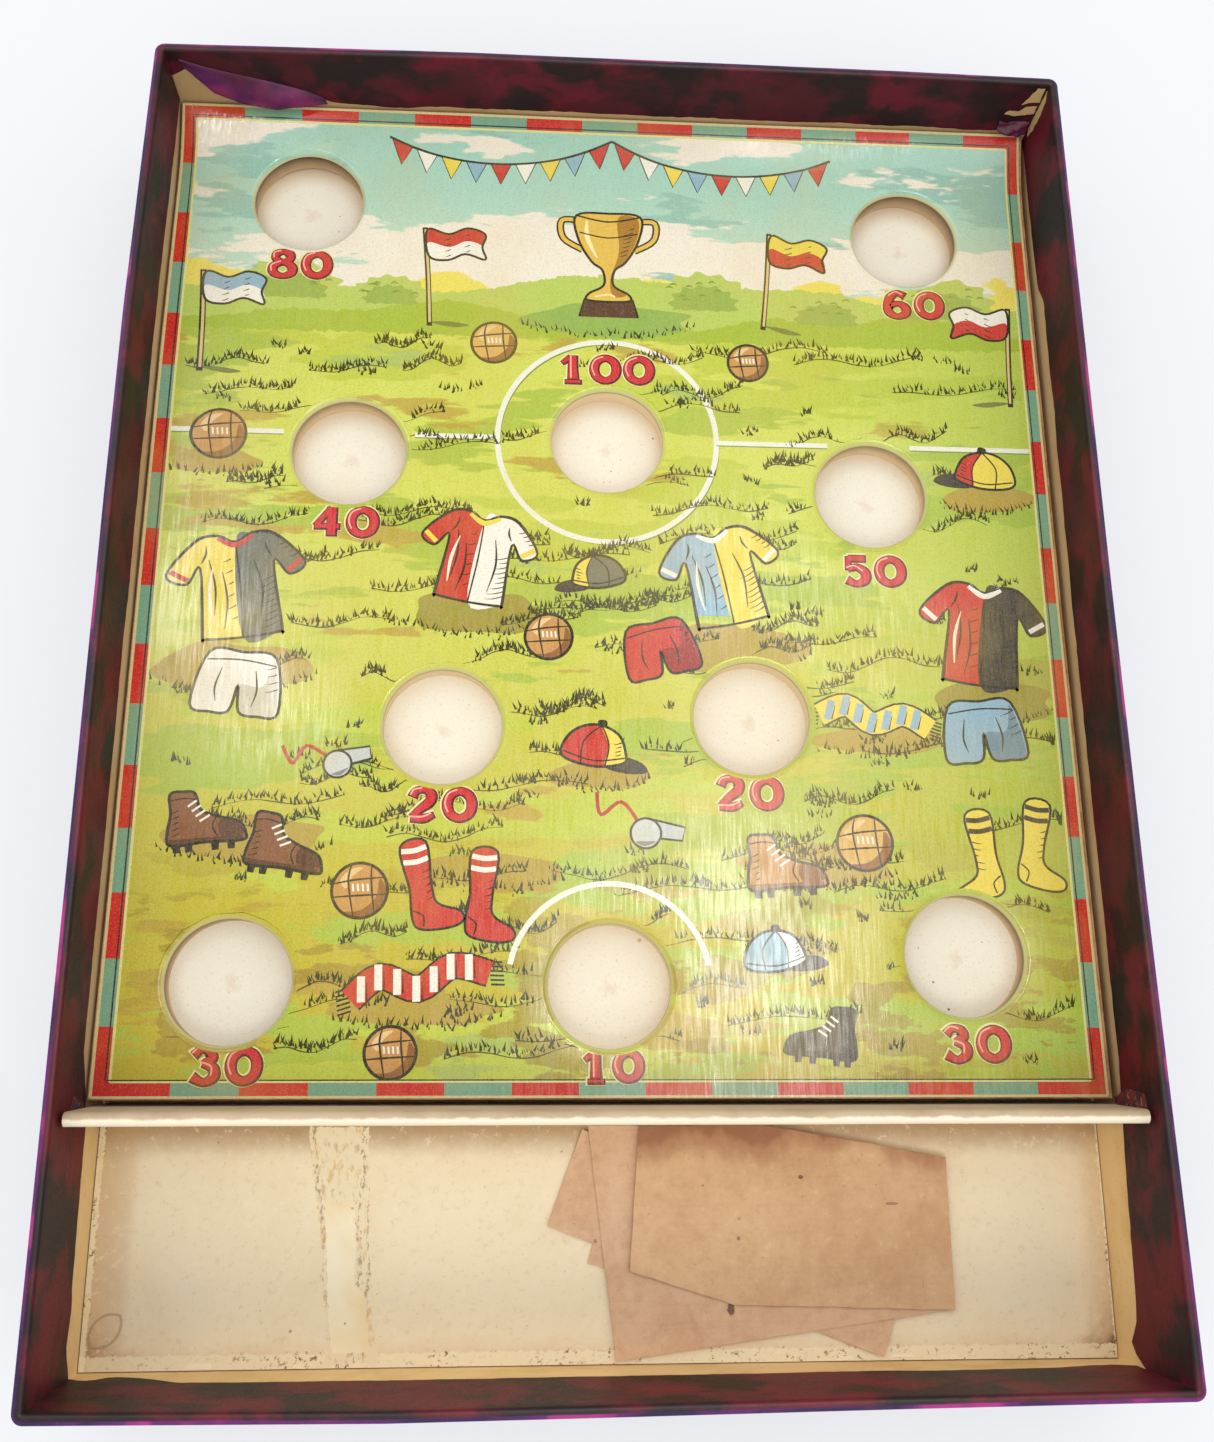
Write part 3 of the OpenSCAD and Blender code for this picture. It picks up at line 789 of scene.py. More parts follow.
def open_sides(faces):
    """Edges that only one face has, in the direction of that face."""
    edges = dict.fromkeys(edge for face in faces for edge in zip(face, face[1:] + face[:1]))
    return [(a, b) for a, b in edges if (b, a) not in edges]


def plate_skin(flat, count, first=0):
    """Faces of a closed plate of count points a side: its top, its bottom and a wall round it."""
    skin = [tuple(first + i for i in f) for f in flat]
    skin += [tuple(first + count + i for i in reversed(f)) for f in flat]
    return skin + [(first + b, first + a, first + count + a, first + count + b) for a,
                   b in open_sides(flat)]


def sheet_mesh(name, rows):
    """A closed sheet from rows of entries. An entry is a front point and a back point, in
    metres, and then perhaps its place on the unwrapped map and its wear."""
    rows = np.array(rows)
    height, width, size = rows.shape
    count = height * width
    faces = []
    for i in range(height - 1):
        for a in range(i * width, (i + 1) * width - 1):
            b = a + width
            faces.append((a, a + 1, b + 1, b))
            faces.append((count + a, count + b, count + b + 1, count + a + 1))
    around = [i * width for i in range(height)] + [(height - 1) * width + j for j in range(1, width)]
    around += [i * width + width - 1 for i in range(height - 2, -1, -1)] + list(range(width - 2, 0, -1))
    for a, b in zip(around, around[1:] + around[:1]):
        faces.append((a, b, count + b, count + a))
    vertices = np.concatenate([rows[..., :3].reshape(-1, 3), rows[..., 3:6].reshape(-1, 3)])
    mesh = new_mesh(name, vertices, faces)
    if size > 6:
        attribute = mesh.attributes.new("wear", "FLOAT", "POINT")
        attribute.data.foreach_set("value", np.tile(rows[..., 8].reshape(-1), 2).astype(np.float32))
        unwrapped = np.tile(rows[..., 6:8].reshape(-1, 2), (2, 1))
        corners = np.zeros(len(mesh.loops), np.int32)
        mesh.loops.foreach_get("vertex_index", corners)
        map_data = mesh.uv_layers.new(name="wrap").data
        map_data.foreach_set("uv", unwrapped[corners].astype(np.float32).reshape(-1))
    return mesh


def close_up(mesh, smooth_angle=40.0):
    """Merges doubles, drops flat faces, points the faces outwards and smooths gentle bends."""
    work = bmesh.new()
    work.from_mesh(mesh)
    bmesh.ops.remove_doubles(work, verts=work.verts, dist=0.002 * MM)
    bmesh.ops.dissolve_degenerate(work, edges=work.edges, dist=0.002 * MM)
    bmesh.ops.recalc_face_normals(work, faces=work.faces)
    limit = math.radians(smooth_angle)
    for face in work.faces:
        face.smooth = True
    for edge in work.edges:
        edge.smooth = len(edge.link_faces) == 2 and edge.calc_face_angle(0.0) < limit
    work.to_mesh(mesh)
    work.free()
    return mesh


def cut_across(work, axis, value):
    """Cuts everything in a bmesh by a plane across one axis."""
    plane = Vector((0.0, 0.0, 0.0))
    plane[axis] = 1.0
    parts = work.verts[:] + work.edges[:] + work.faces[:]
    bmesh.ops.bisect_plane(work, geom=parts, plane_co=plane * value, plane_no=plane, dist=1e-7)


def held(share):
    """Keeps a share between nothing and the whole."""
    return max(0.0, min(1.0, share))


def bumps(x, y, z):
    """Smooth noise from about -1 to 1."""
    return noise.noise(Vector((x, y, z)))


def wander(value, phase, slow=1.0, fast=0.4):
    """A smooth random height for a ragged edge at a distance along it, in millimetres."""
    return slow * bumps(value / 14, phase, 0.0) + fast * bumps(value / 2.6, phase, 7.0)


print("mesh helpers are ready")

# %% [markdown]
# ## Sides that have bowed
# A box of thin board does not stay square. The sides of this one have bowed outwards by one or
# two millimetres, most of it in their middle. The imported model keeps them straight, so the
# bow belongs to the picture only. One function moves a point outwards by how near it is to a
# side and how high it is, and every piece that touches a side is moved by it.

# %% Bowed sides
# Place along the side, then the outward shift of its foot and of its rim, in millimetres
BOW_LEFT = [(-170, 2.3, 1.6), (-113, 2.4, 1.7), (-60, 1.9, 1.8), (40, 1.6, 2.2), (90, 1.4, 2.2),
            (170, 0.8, 0.8)]
BOW_RIGHT = [(-170, 1.2, 2.0), (-120, 1.3, 1.3), (-60, 0.8, 0.5), (20, 0.3, 0.1), (170, 0.1, 0.0)]
BOW_FAR = [(-125, 0.4, 0.4), (-90, 0.8, 1.1), (-40, 1.0, 1.9), (80, 1.0, 2.0), (125, 0.8, 1.6)]
BOW_NEAR = [(-125, 0.3, 1.5), (-50, 0.1, 2.2), (0, 0.1, 1.7), (60, 0.1, 1.0), (125, 0.3, 0.5)]
BOW_REACH = 11.5 * MM


def side_bow(table, place, height, gap):
    """Outward shift at a place along a side, at a share of its height and a distance within it."""
    places, foot, rim = zip(*table)
    at_foot, at_rim = np.interp(place / MM, places, foot), np.interp(place / MM, places, rim)
    return float(at_foot + (at_rim - at_foot) * height) * held(1.0 - gap / BOW_REACH) * MM


def bowed(point):
    """Where a point of the straight box goes when its sides have bowed."""
    x, y, z = point
    height = max(0.0, z / rim_z)
    out_x = side_bow(BOW_LEFT if x < 0 else BOW_RIGHT, y, height, inner_x - abs(x))
    out_y = side_bow(BOW_NEAR if y < 0 else BOW_FAR, x, height, inner_y - abs(y))
    return Vector((x + math.copysign(out_x, x), y + math.copysign(out_y, y), z))


def bow_mesh(mesh):
    for vertex in mesh.vertices:
        vertex.co = bowed(vertex.co)
    return mesh


def bowed_copy(node, look, snug=0.0):
    """A packed board or sheet, cut into short lengths and bowed with its side. Edges that are
    nearer to a side than snug are drawn out to it."""
    mesh = frame["nodes"][node].data.copy()
    mesh.materials.clear()
    work = bmesh.new()
    work.from_mesh(mesh)
    bmesh.ops.remove_doubles(work, verts=work.verts, dist=0.002 * MM)
    low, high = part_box(node)
    for vertex in work.verts:
        for axis, side in enumerate((inner_x, inner_y)):
            if 0.0 < side - abs(vertex.co[axis]) < snug:
                vertex.co[axis] = math.copysign(side, vertex.co[axis])
    bow_x, bow_y = inner_x - BOW_REACH, inner_y - BOW_REACH
    cuts = [(0, np.linspace(-inner_x, inner_x, 14)), (1, np.linspace(-inner_y, inner_y, 18)),
            (0, (-bow_x, bow_x)), (1, (-bow_y, bow_y)), (2, np.linspace(0.0, rim_z, 8))]
    for axis, values in cuts:
        for value in values:
            if low[axis] + 0.1 * MM < value < high[axis] - 0.1 * MM:
                cut_across(work, axis, value)
    work.to_mesh(mesh)
    work.free()
    for face in mesh.polygons:
        face.use_smooth = False
    link_piece(bow_mesh(mesh), node + "_bowed", "tray", look, [node])


for node in ("left_wall", "right_wall", "far_wall", "near_wall"):
    bowed_copy(node, strawboard)
bowed_copy("corner_stays", stay_paper)
bowed_copy("floor_lining", lining_paper, snug=1.5 * MM)
print("greatest bow in mm:", round((bowed((-inner_x, 0.065, rim_z)).x + inner_x) / MM, 2))

# %% [markdown]
# ## The four covers
# Each side of the box is wrapped by its own strip of marbled paper. It starts under the
# bottom, goes up the outside, over the rim and down inside, and ends in a hand-torn edge.
# The two long strips also go round the corners. Seen from its end, a strip is one line, so
# the section is drawn once and carried along the side: straight, then turning about the
# inner corner. The inner edge hangs lower near the compartment's corners, where the paper
# was folded over, and it is missing at the far left, where it has torn away.

# %% Section of a cover
PAPER_T = 0.25 * MM
RIM_R = 0.9 * MM
TURN_UNDER = 12 * MM
under_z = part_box("left_cover")[0].z


def arc(centre_u, centre_z, radius, start, end, steps):
    """Points on part of a circle in a section, from start to end in degrees."""
    angles = [math.radians(start + (end - start) * i / steps) for i in range(steps + 1)]
    return [(centre_u + radius * math.cos(a), centre_z + radius * math.sin(a)) for a in angles]


def cover_section(inner_edge_z):
    """Outer and inner line of the paper: u outwards from the inner face, z up."""
    top = rim_z - RIM_R
    lap = side_t - TURN_UNDER
    foot_r = 0.4 * MM
    under = [lap + (side_t - foot_r - lap) * i / 6 for i in range(6)]
    outer = [(u, under_z) for u in under]
    outer += arc(side_t - foot_r, under_z + foot_r, foot_r, -90, 0, 3)
    outer += [(side_t, under_z + foot_r + (top - under_z - foot_r) * i / 12) for i in range(1, 12)]
    outer += arc(side_t - RIM_R, top, RIM_R, 0, 90, 6)
    outer += arc(RIM_R, top, RIM_R, 90, 180, 6)
    outer += [(0.0, top + (inner_edge_z - top) * i / 14) for i in range(1, 15)]
    thin = RIM_R - PAPER_T
    inner = [(u, under_z + PAPER_T) for u in under]
    inner += arc(side_t - foot_r, under_z + foot_r, foot_r - PAPER_T, -90, 0, 3)
    inner += [(side_t - PAPER_T, z) for u, z in outer[10:21]]
    inner += arc(side_t - RIM_R, top, thin, 0, 90, 6)
    inner += arc(RIM_R, top, thin, 90, 180, 6)
    inner += [(PAPER_T, z) for u, z in outer[-14:]]
    return outer, inner


def section_lengths(line):
    steps = np.linalg.norm(np.diff(line, axis=0), axis=1)
    return np.concatenate([[0.0], np.cumsum(steps)])


print("points in a section:", len(cover_section(20 * MM)[0]))

# %% Lower edges of the turned-in paper
# Distance along the side and height over the lining, both in millimetres
LEFT_EDGE = [(-168, 7.0), (-165, 8.5), (-160, 11.2), (-153, 10.0), (-148, 11.4), (-130, 11.8),
             (-112, 12.4), (-104, 16.0), (-96, 20.3), (168, 20.3)]
RIGHT_EDGE = [(-168, 15.5), (-166.5, 13.5), (-164, 8.6), (-161.5, 9.2), (-159, 12.4), (-150, 13.6),
              (-120, 15.6), (-100, 18.0), (112, 20.3), (118, 17.2), (168, 16.6)]
NEAR_EDGE = [(-123, 6.4), (-120, 8.7), (-118, 9.0), (-115, 5.4), (-111, 6.2), (-104, 9.0),
             (-99, 12.0), (-80, 12.4), (90, 12.2), (104, 11.4), (112, 9.4), (118, 8.6), (123, 10.4)]
FAR_EDGE = [(-123, 29.0), (-118, 32.5), (-106, 29.6), (-97, 26.0), (-88, 23.6), (-80, 20.4),
            (-60, 19.6), (0, 20.2), (123, 20.0)]


def edge_height(table, along, phase):
    """Height of the torn edge over the table that the box stands on, in metres."""
    places, heights = zip(*table)
    height = np.interp(along, places, heights)
    return lining_top + (height + wander(along, phase, 0.7, 0.35)) * MM


print("places on the torn edges:", sum(map(len, (LEFT_EDGE, RIGHT_EDGE, NEAR_EDGE, FAR_EDGE))))

# %% Build the covers


def stations(half, corners):
    """Stops along a side: distance along it, and the turn about a corner in degrees."""
    stops = [(s, 0.0) for s in np.linspace(-half, half, 141)]
    if corners:
        turns = [90.0 * i / 10 for i in range(1, 11)]
        stops = [(-half, -t) for t in reversed(turns)] + stops + [(half, t) for t in turns]
    return stops


def make_cover(name, angle, reach, half, table, phase, corners):
    """One strip: its section carried along the side, and round both corners if it has them."""
    facing = Matrix.Rotation(math.radians(angle), 3, "Z")
    rows = []
    for along, turn_by in stations(half, corners):
        centre = facing @ Vector((reach, along, 0.0))
        out = facing @ Matrix.Rotation(math.radians(turn_by), 3, "Z") @ Vector((1.0, 0.0, 0.0))
        world_along = (centre.y if angle in (0, 180) else centre.x) / MM
        outer, inner = cover_section(edge_height(table, world_along, phase))
        travelled = along + math.copysign(1, along) * math.radians(abs(turn_by)) * side_t
        swell = 0.10 * MM * bumps(travelled / 0.03, phase, 3.0)
        row = []
        for (u, z), (v, y), length in zip(outer, inner, section_lengths(outer)):
            if turn_by and u <= 0.0:
                u = v = 0.0
            if not turn_by and u < 0.0:
                u = v = max(u, abs(along) - half)
            sink = -abs(swell) if z > rim_z - 2 * RIM_R else 0.0
            front = centre + out * u + Vector((0, 0, z + sink))
            back = centre + out * v + Vector((0, 0, y + sink))
            rubbed = held((u / side_t - 0.45) / 0.30) * max(0.0, 1.0 - (rim_z - z) / (2.6 * MM))
            if u > 0.5 * side_t:
                rubbed = max(rubbed, 0.36, 0.8 * abs(turn_by) / 90)
            row.append((*front, *back, travelled / 0.1, length / 0.1, rubbed))
        rows.append(row)
    mesh = bow_mesh(close_up(sheet_mesh(name, rows)))
    link_piece(mesh, name + "_paper", "tray", marbled, [name])


make_cover("left_cover", 180, inner_x, inner_y, LEFT_EDGE, 1.3, True)
make_cover("right_cover", 0, inner_x, inner_y, RIGHT_EDGE, 4.1, True)
make_cover("far_cover", 90, inner_y, inner_x, FAR_EDGE, 6.7, False)
make_cover("near_cover", 270, inner_y, inner_x, NEAR_EDGE, 9.2, False)
print("covers made; rim at", round(rim_z / MM, 2), "mm")

# %% [markdown]
# ## The curled playing board
# The board is a thick strawboard plate, pierced for ten pockets, with the printed paper
# pasted on top and pressed down into each pocket's mouth. Old board warps, and this one
# curls up a little along its far edge. One function gives that lift at any point, and the
# board, the print and every shape of ink use it, so they stay together.

# %% Curl of the far edge
CURL_START = 0.144
CURL_HEIGHT = 3.3 * MM
CURL_STEPS = 6
curl_rows = [CURL_START + (print_high.y - CURL_START) * i / CURL_STEPS for i in range(CURL_STEPS)]


def lift(x, y):
    """How far the board has curled up at a point: straight between the rows, so inks fit it."""
    if y <= CURL_START:
        return 0.0
    step = (print_high.y - CURL_START) / CURL_STEPS
    row = min(int((y - CURL_START) / step), CURL_STEPS - 1)
    share = (y - CURL_START) / step - row
    low, high = (row / CURL_STEPS) ** 2, ((row + 1) / CURL_STEPS) ** 2
    rise = low + (high - low) * share
    return CURL_HEIGHT * rise * (1.0 + 0.25 * (x / inner_x) ** 2)


print("lift at the far left corner in mm:", round(lift(-inner_x, print_high.y) / MM, 2))

# %% [markdown]
# ## Pierced plates
# A plate with round holes is easiest as a drawing first. Points go along the edge, in rings
# round the pockets and on a loose grid between, and a Delaunay triangulation joins them into
# even triangles. The triangles inside the rings are left out. The drawing becomes the top
# and the bottom, and each hole gets rows of points that carry its wall down, as a straight
# cut in the board or as the soft pressed lip of the paper.

# %% Pierced plate helper
RING = 96
CELL = 9 * MM


def pocket_near(point):
    """Middle of the pocket that is nearest to a point, seen from above."""
    return min((c.xy for c in pockets.values()), key=lambda c: (c - point).length)


def pierced_drawing(low, high, radius):
    """Triangles of a rectangle with a hole of that radius at each pocket, and its edges."""
    columns = max(2, round((high.x - low.x) / CELL))
    rows = sorted(set([low.y, high.y] + [y for y in curl_rows if low.y < y < high.y]))
    start = rows[1] if len(rows) > 2 else high.y
    rows += [low.y + (start - low.y) * i / 29 for i in range(1, 29)]
    points = []
    for i in range(columns + 1):
        for y in rows:
            point = Vector((low.x + (high.x - low.x) * i / columns, y))
            if all((point - c.xy).length > radius + 1.2 * MM for c in pockets.values()):
                points.append(point)
    edges = []
    for centre in pockets.values():
        first = len(points)
        for i in range(RING):
            a = 2 * math.pi * i / RING
            points.append(centre.xy + Vector((math.cos(a), math.sin(a))) * radius)
        edges += [(first + i, first + (i + 1) % RING) for i in range(RING)]
    made = geometry.delaunay_2d_cdt(points, edges, [], 0, 0.001 * MM)
    flat, triangles = made[0], made[2]
    kept = []
    for triangle in triangles:
        middle = sum((flat[i] for i in triangle), Vector((0.0, 0.0))) / 3
        if all((middle - c.xy).length > radius * 0.999 for c in pockets.values()):
            kept.append(tuple(triangle))
    return flat, kept


def boundary_loops(triangles):
    """Chains of points along the drawing's open edges, one for the outside and each hole."""
    onward = dict(open_sides(triangles))
    loops = []
    while onward:
        start, point = onward.popitem()
        loop = [start]
        while point != start:
            loop.append(point)
            point = onward.pop(point)
        loops.append(loop)
    return loops


def pierced_plate(name, low, high, top, bottom, hole_rows):
    """A plate with walled holes. Each of hole_rows is a radius and a height of the wall of a
    hole, from its top edge to the bottom."""
    first_radius, last_radius = hole_rows[0][0], hole_rows[-1][0]
    flat, triangles = pierced_drawing(low, high, first_radius)
    count = len(flat)
    near_pocket = {}
    for i, point in enumerate(flat):
        centre = pocket_near(point)
        if (point - centre).length < first_radius + 0.05 * MM:
            near_pocket[i] = centre

    def placed(point, z):
        return (point.x, point.y, z + lift(point.x, point.y))

    def ring_place(i, radius):
        centre = near_pocket[i]
        return centre + (flat[i] - centre).normalized() * radius

    vertices = [placed(p, top) for p in flat]
    for i, point in enumerate(flat):
        vertices.append(placed(ring_place(i, last_radius) if i in near_pocket else point, bottom))
    faces = [tuple(t) for t in triangles] + [tuple(count + i for i in reversed(t)) for t in triangles]
    for loop in boundary_loops(triangles):
        rows = [loop]
        for radius, z in hole_rows[1:-1] if loop[0] in near_pocket else ():
            start = len(vertices)
            vertices += [placed(ring_place(i, radius), z) for i in loop]
            rows.append(list(range(start, start + len(loop))))
        rows.append([count + i for i in loop])
        for upper, lower in zip(rows, rows[1:]):
            for k in range(len(loop)):
                m = (k + 1) % len(loop)
                faces.append((upper[m], upper[k], lower[k], lower[m]))
    return bow_mesh(close_up(new_mesh(name, vertices, faces), 30.0))


print("a pocket gets", RING, "points round it")

# %% Playing board and printed paper
PRINT_T = print_high.z - board_high.z
LIP_R = 1.2 * MM
ROUGH = 0.06 * MM
mouth_r = pocket_r + LIP_R
lip_z = board_high.z - LIP_R

# The print stops a little short of the board's near and right edges
print_low.y = board_low.y + 0.3 * MM
print_high.x -= 0.5 * MM
board_rows = [(mouth_r, board_high.z), (pocket_r, lip_z)]
for i in range(1, 9):
    z = lip_z + (board_low.z - lip_z) * i / 9
    board_rows.append((pocket_r + ROUGH * bumps(z / (0.9 * MM), 5.0, 1.0), z))
board_rows.append((pocket_r, board_low.z))
board_mesh = pierced_plate("playing_board", board_low, board_high, board_high.z, board_low.z, board_rows)


def hollow_shade(point):
    """How dark the painted shade under the lip is at a point of the board: nothing away from the
    pockets, and more in the pockets near the sides, where the board stands higher over the card."""
    centre = pocket_near(point.xy)
    if (centre - point.xy).length > mouth_r + 0.05 * MM:
        return 0.0
    return 0.04 + held((math.hypot(centre.x, centre.y / 2) / MM - 32) / 78)


shade_values = [hollow_shade(vertex.co) for vertex in board_mesh.vertices]
board_mesh.attributes.new("hollow", "FLOAT", "POINT").data.foreach_set("value", shade_values)
link_piece(board_mesh, "playing_board_plate", "playing_inset", pocket_board,
           ["playing_board"])

print_rows = arc(mouth_r, lip_z, LIP_R + PRINT_T, 90, 180, 8) + arc(mouth_r, lip_z, LIP_R, 180, 90, 8)
print_mesh = pierced_plate("playing_print", print_low, print_high, field_z, board_high.z, print_rows)
link_piece(print_mesh, "playing_print_sheet", "playing_inset", printed_paper,
           ["playing_print"])
print("print triangles:", sum(len(p.vertices) - 2 for p in print_mesh.polygons))

# %% [markdown]
# ## Drawing with ink
# The printed things are real shapes on the paper: each ink is a very thin closed plate with
# its colour in an attribute. A curve that runs smoothly through a few points is enough for
# either a filled shape or a stroke of changing width. Each new shape lies a hair above the
# one before, so that the last ink printed is the one seen, and a shape that would reach into
# a pocket is pushed back to the pocket's rim.

# %% Ink shapes
INK_START = 0.02 * MM
INK_STEP = 0.0015 * MM
KEEP_CLEAR = mouth_r + 0.25 * MM
ink_shapes = []
ink_level = [0]


def fresh_ink(level=0):
    """Starts a new drawing: its first ink lies close to the paper again."""
    ink_level[0] = level


def print_shape(outline, faces, colour):
    ink_level[0] += 1
    ink_shapes.append((outline, faces, paint(*colour), INK_START + INK_STEP * ink_level[0]))


def curved(points, closed=True, steps=5):
    """A smooth curve through the points."""
    points = [Vector(p) for p in points]
    count = len(points)
    found = []
    for i in range(count if closed else count - 1):
        if closed:
            a, b, c, d = (points[(i + k) % count] for k in (-1, 0, 1, 2))
        else:
            a, b, c, d = (points[min(max(i + k, 0), count - 1)] for k in (-1, 0, 1, 2))
        for k in range(steps):
            t = k / steps
            bend = (2 * a - 5 * b + 4 * c - d) * t * t + (3 * b - a - 3 * c + d) * t ** 3
            found.append((2 * b + (c - a) * t + bend) / 2)
    return found if closed else found + [points[-1]]


def clear_of_pockets(point):
    for centre in pockets.values():
        away = point - centre.xy
        if away.length < KEEP_CLEAR:
            return centre.xy + away.normalized() * KEEP_CLEAR
    return point


def fill(points, colour, soft=True):
    """A filled shape. soft rounds the outline through its points."""
    outline = curved(points) if soft else [Vector(p) for p in points]
    outline = [clear_of_pockets(p) for p in outline]
    faces = geometry.tessellate_polygon([[p.to_3d() for p in outline]])
    print_shape(outline, [tuple(f) for f in faces], colour)


def stroke(points, width, colour, closed=False, grow=0.0, soft=True):
    """A stroke of one width, or of one width for each point, in millimetres. grow widens it."""
    widths = width if isinstance(width, list) else [width] * len(points)
    grow *= MM
    both = [Vector((p[0], p[1], w * MM)) for p, w in zip(points, widths)]
    line = curved(both, closed) if soft else both
    if grow and not closed:
        line[0] = line[0] - (line[1] - line[0]).normalized() * grow * 0.4
        line[-1] = line[-1] + (line[-1] - line[-2]).normalized() * grow * 0.4
    count = len(line)
    edge = []
    for i, point in enumerate(line):
        before = line[i - 1] if closed or i else point
        after = line[(i + 1) % count] if closed or i < count - 1 else point
        ahead = (after.xy - before.xy).normalized()
        side = Vector((-ahead.y, ahead.x)) * (point.z + grow) / 2
        edge += [clear_of_pockets(point.xy + side), clear_of_pockets(point.xy - side)]
    faces = []
    for i in range(count if closed else count - 1):
        a, b = 2 * i, 2 * ((i + 1) % count)
        faces.append((a, a + 1, b + 1, b))
    print_shape(edge, faces, colour)


def settle(mesh):
    """Cuts a flat mesh along the curl's rows and lifts it, so that it lies on the board."""
    work = bmesh.new()
    work.from_mesh(mesh)
    for y in curl_rows:
        cut_across(work, 1, y)
    for vertex in work.verts:
        vertex.co.z += lift(vertex.co.x, vertex.co.y)
    bmesh.ops.recalc_face_normals(work, faces=work.faces)
    work.to_mesh(mesh)
    work.free()
    return bow_mesh(mesh)


def ink_mesh(name):
    """Joins all waiting shapes into one mesh of thin plates and empties the list."""
    vertices, faces, colours = [], [], []
    for outline, flat, colour, level in ink_shapes:
        top = field_z + level
        first, count = len(vertices), len(outline)
        vertices += [(p.x, p.y, top) for p in outline]
        vertices += [(p.x, p.y, field_z - 0.01 * MM) for p in outline]
        colours += [colour] * (2 * count)
        faces += plate_skin(flat, count, first)
    mesh = new_mesh(name, vertices, faces)
    attribute = mesh.attributes.new("ink", "FLOAT_COLOR", "POINT")
    attribute.data.foreach_set("color", [channel for colour in colours for channel in colour])
    ink_shapes.clear()
    return settle(mesh)


DRAWING, NUMBER = 12, 70
DARK = (44, 38, 30)
CHALK = (240, 238, 216)
print("ink helpers are ready; pockets stay clear to", round(KEEP_CLEAR / MM, 2), "mm")

# %% [markdown]
# ## White lines of the pitch
# A touch line, a halfway line and a centre circle tie the pockets together. A straight line
# is cut where it would cross a pocket, so the helper first finds its free runs.

# %% Pitch lines
PITCH_Y = pockets["pocket_100"].y
RING_R = 30 * MM
LINE_SHADE = (120, 146, 60)


def free_runs(y, start, end):
    """Stretches of a level line that stay clear of the centre circle and every pocket."""
    cuts = []
    for name, centre in pockets.items():
        clear = RING_R if name == "pocket_100" else KEEP_CLEAR + 1.5 * MM
        off = clear ** 2 - (centre.y - y) ** 2
        if off > 0:
            cuts.append((centre.x - math.sqrt(off), centre.x + math.sqrt(off)))
    runs = []
    for low, high in sorted(cuts):
        runs.append((start, low))
        start = high
    return runs + [(start, end)]


def pitch_lines():
    middle = pockets["pocket_100"].xy
    angles = np.linspace(0, 2 * math.pi, 49)[:-1]
    ring = [middle + Vector((math.cos(a), math.sin(a))) * RING_R for a in angles]
    stroke([p + Vector((0.5, -0.7)) * MM for p in ring], 0.6, LINE_SHADE, closed=True)
    stroke(ring, 1.5, CHALK, closed=True)
    for low, high in free_runs(PITCH_Y, print_low.x + 3.5 * MM, print_high.x - 3.5 * MM):
        for y, width, colour in ((PITCH_Y - 0.7 * MM, 0.6, LINE_SHADE), (PITCH_Y, 1.4, CHALK)):
            stroke([(low, y), (high, y)], width, colour, soft=False)
    goal = pockets["pocket_10"].xy
    box = [goal + Vector((math.cos(a), math.sin(a))) * 25 * MM for a in np.linspace(0.2, 2.94, 24)]
    stroke(box, 1.4, CHALK)


pitch_lines()
print("pitch shapes:", len(ink_shapes))

# %% [markdown]
# ## Football things
# Each is a small drawing in its own millimetres with a dark outline, a few folds and some
# hatching on its shaded side. A pen stamps it in place: it moves, turns, sizes or mirrors
# every point of the drawing.

# %% Ground under the drawings
draw = random.Random(11)
tuft_lines = []
# Width of a hatching stroke at its start, its middle and its end
HATCHING = [0.3, 0.24, 0.09]


def free_tufts(short, long):
    """Rows of grass over the turf: short ones anywhere, and long wavy ones."""
    for _ in range(short):
        x, y = draw.uniform(-114, 112), draw.uniform(-98, 96)
        length = draw.uniform(2, 6)
        tuft_lines.append([(x, y), (x + length, y + draw.uniform(-0.6, 0.6))])
    for i in range(long):
        x, y = draw.uniform(-116, 92), -98 + 194 * (i + draw.random()) / long
        length, wave = draw.uniform(14, 38), draw.uniform(0.6, 1.8)
        row = [(min(115, x + length * t / 6), y + wave * math.sin(1.3 * t + i) + 0.4 * t) for t in range(7)]
        tuft_lines.append(row)
        fresh_ink(2)
        widths = [draw.uniform(0.1, 0.4) for t in row]
        stroke([(u * MM, (v - 0.6) * MM) for u, v in row], widths, (92, 86, 30))


def ground(x, y, wide, tall, colour=(186, 160, 70)):
    """A worn patch of turf, with grass tufts along its lower edge."""
    fresh_ink()
    lobes = 13
    points = []
    for i in range(lobes):
        a = 2 * math.pi * i / lobes
        reach = draw.uniform(0.82, 1.12)
        points.append(((x + wide * reach * math.cos(a)) * MM, (y + tall * reach * math.sin(a)) * MM))
    fill(points, colour)
    tuft_lines.append([(x - wide, y - tall * 0.5), (x - wide * 0.3, y - tall),
                       (x + wide * 0.4, y - tall * 0.9)])
    tuft_lines.append([(x + wide * 0.3, y - tall * 1.1), (x + wide, y - tall * 0.3)])


def path(text):
    """The points that are written "x y, x y"."""
    return [tuple(map(float, point.split())) for point in text.split(",")]


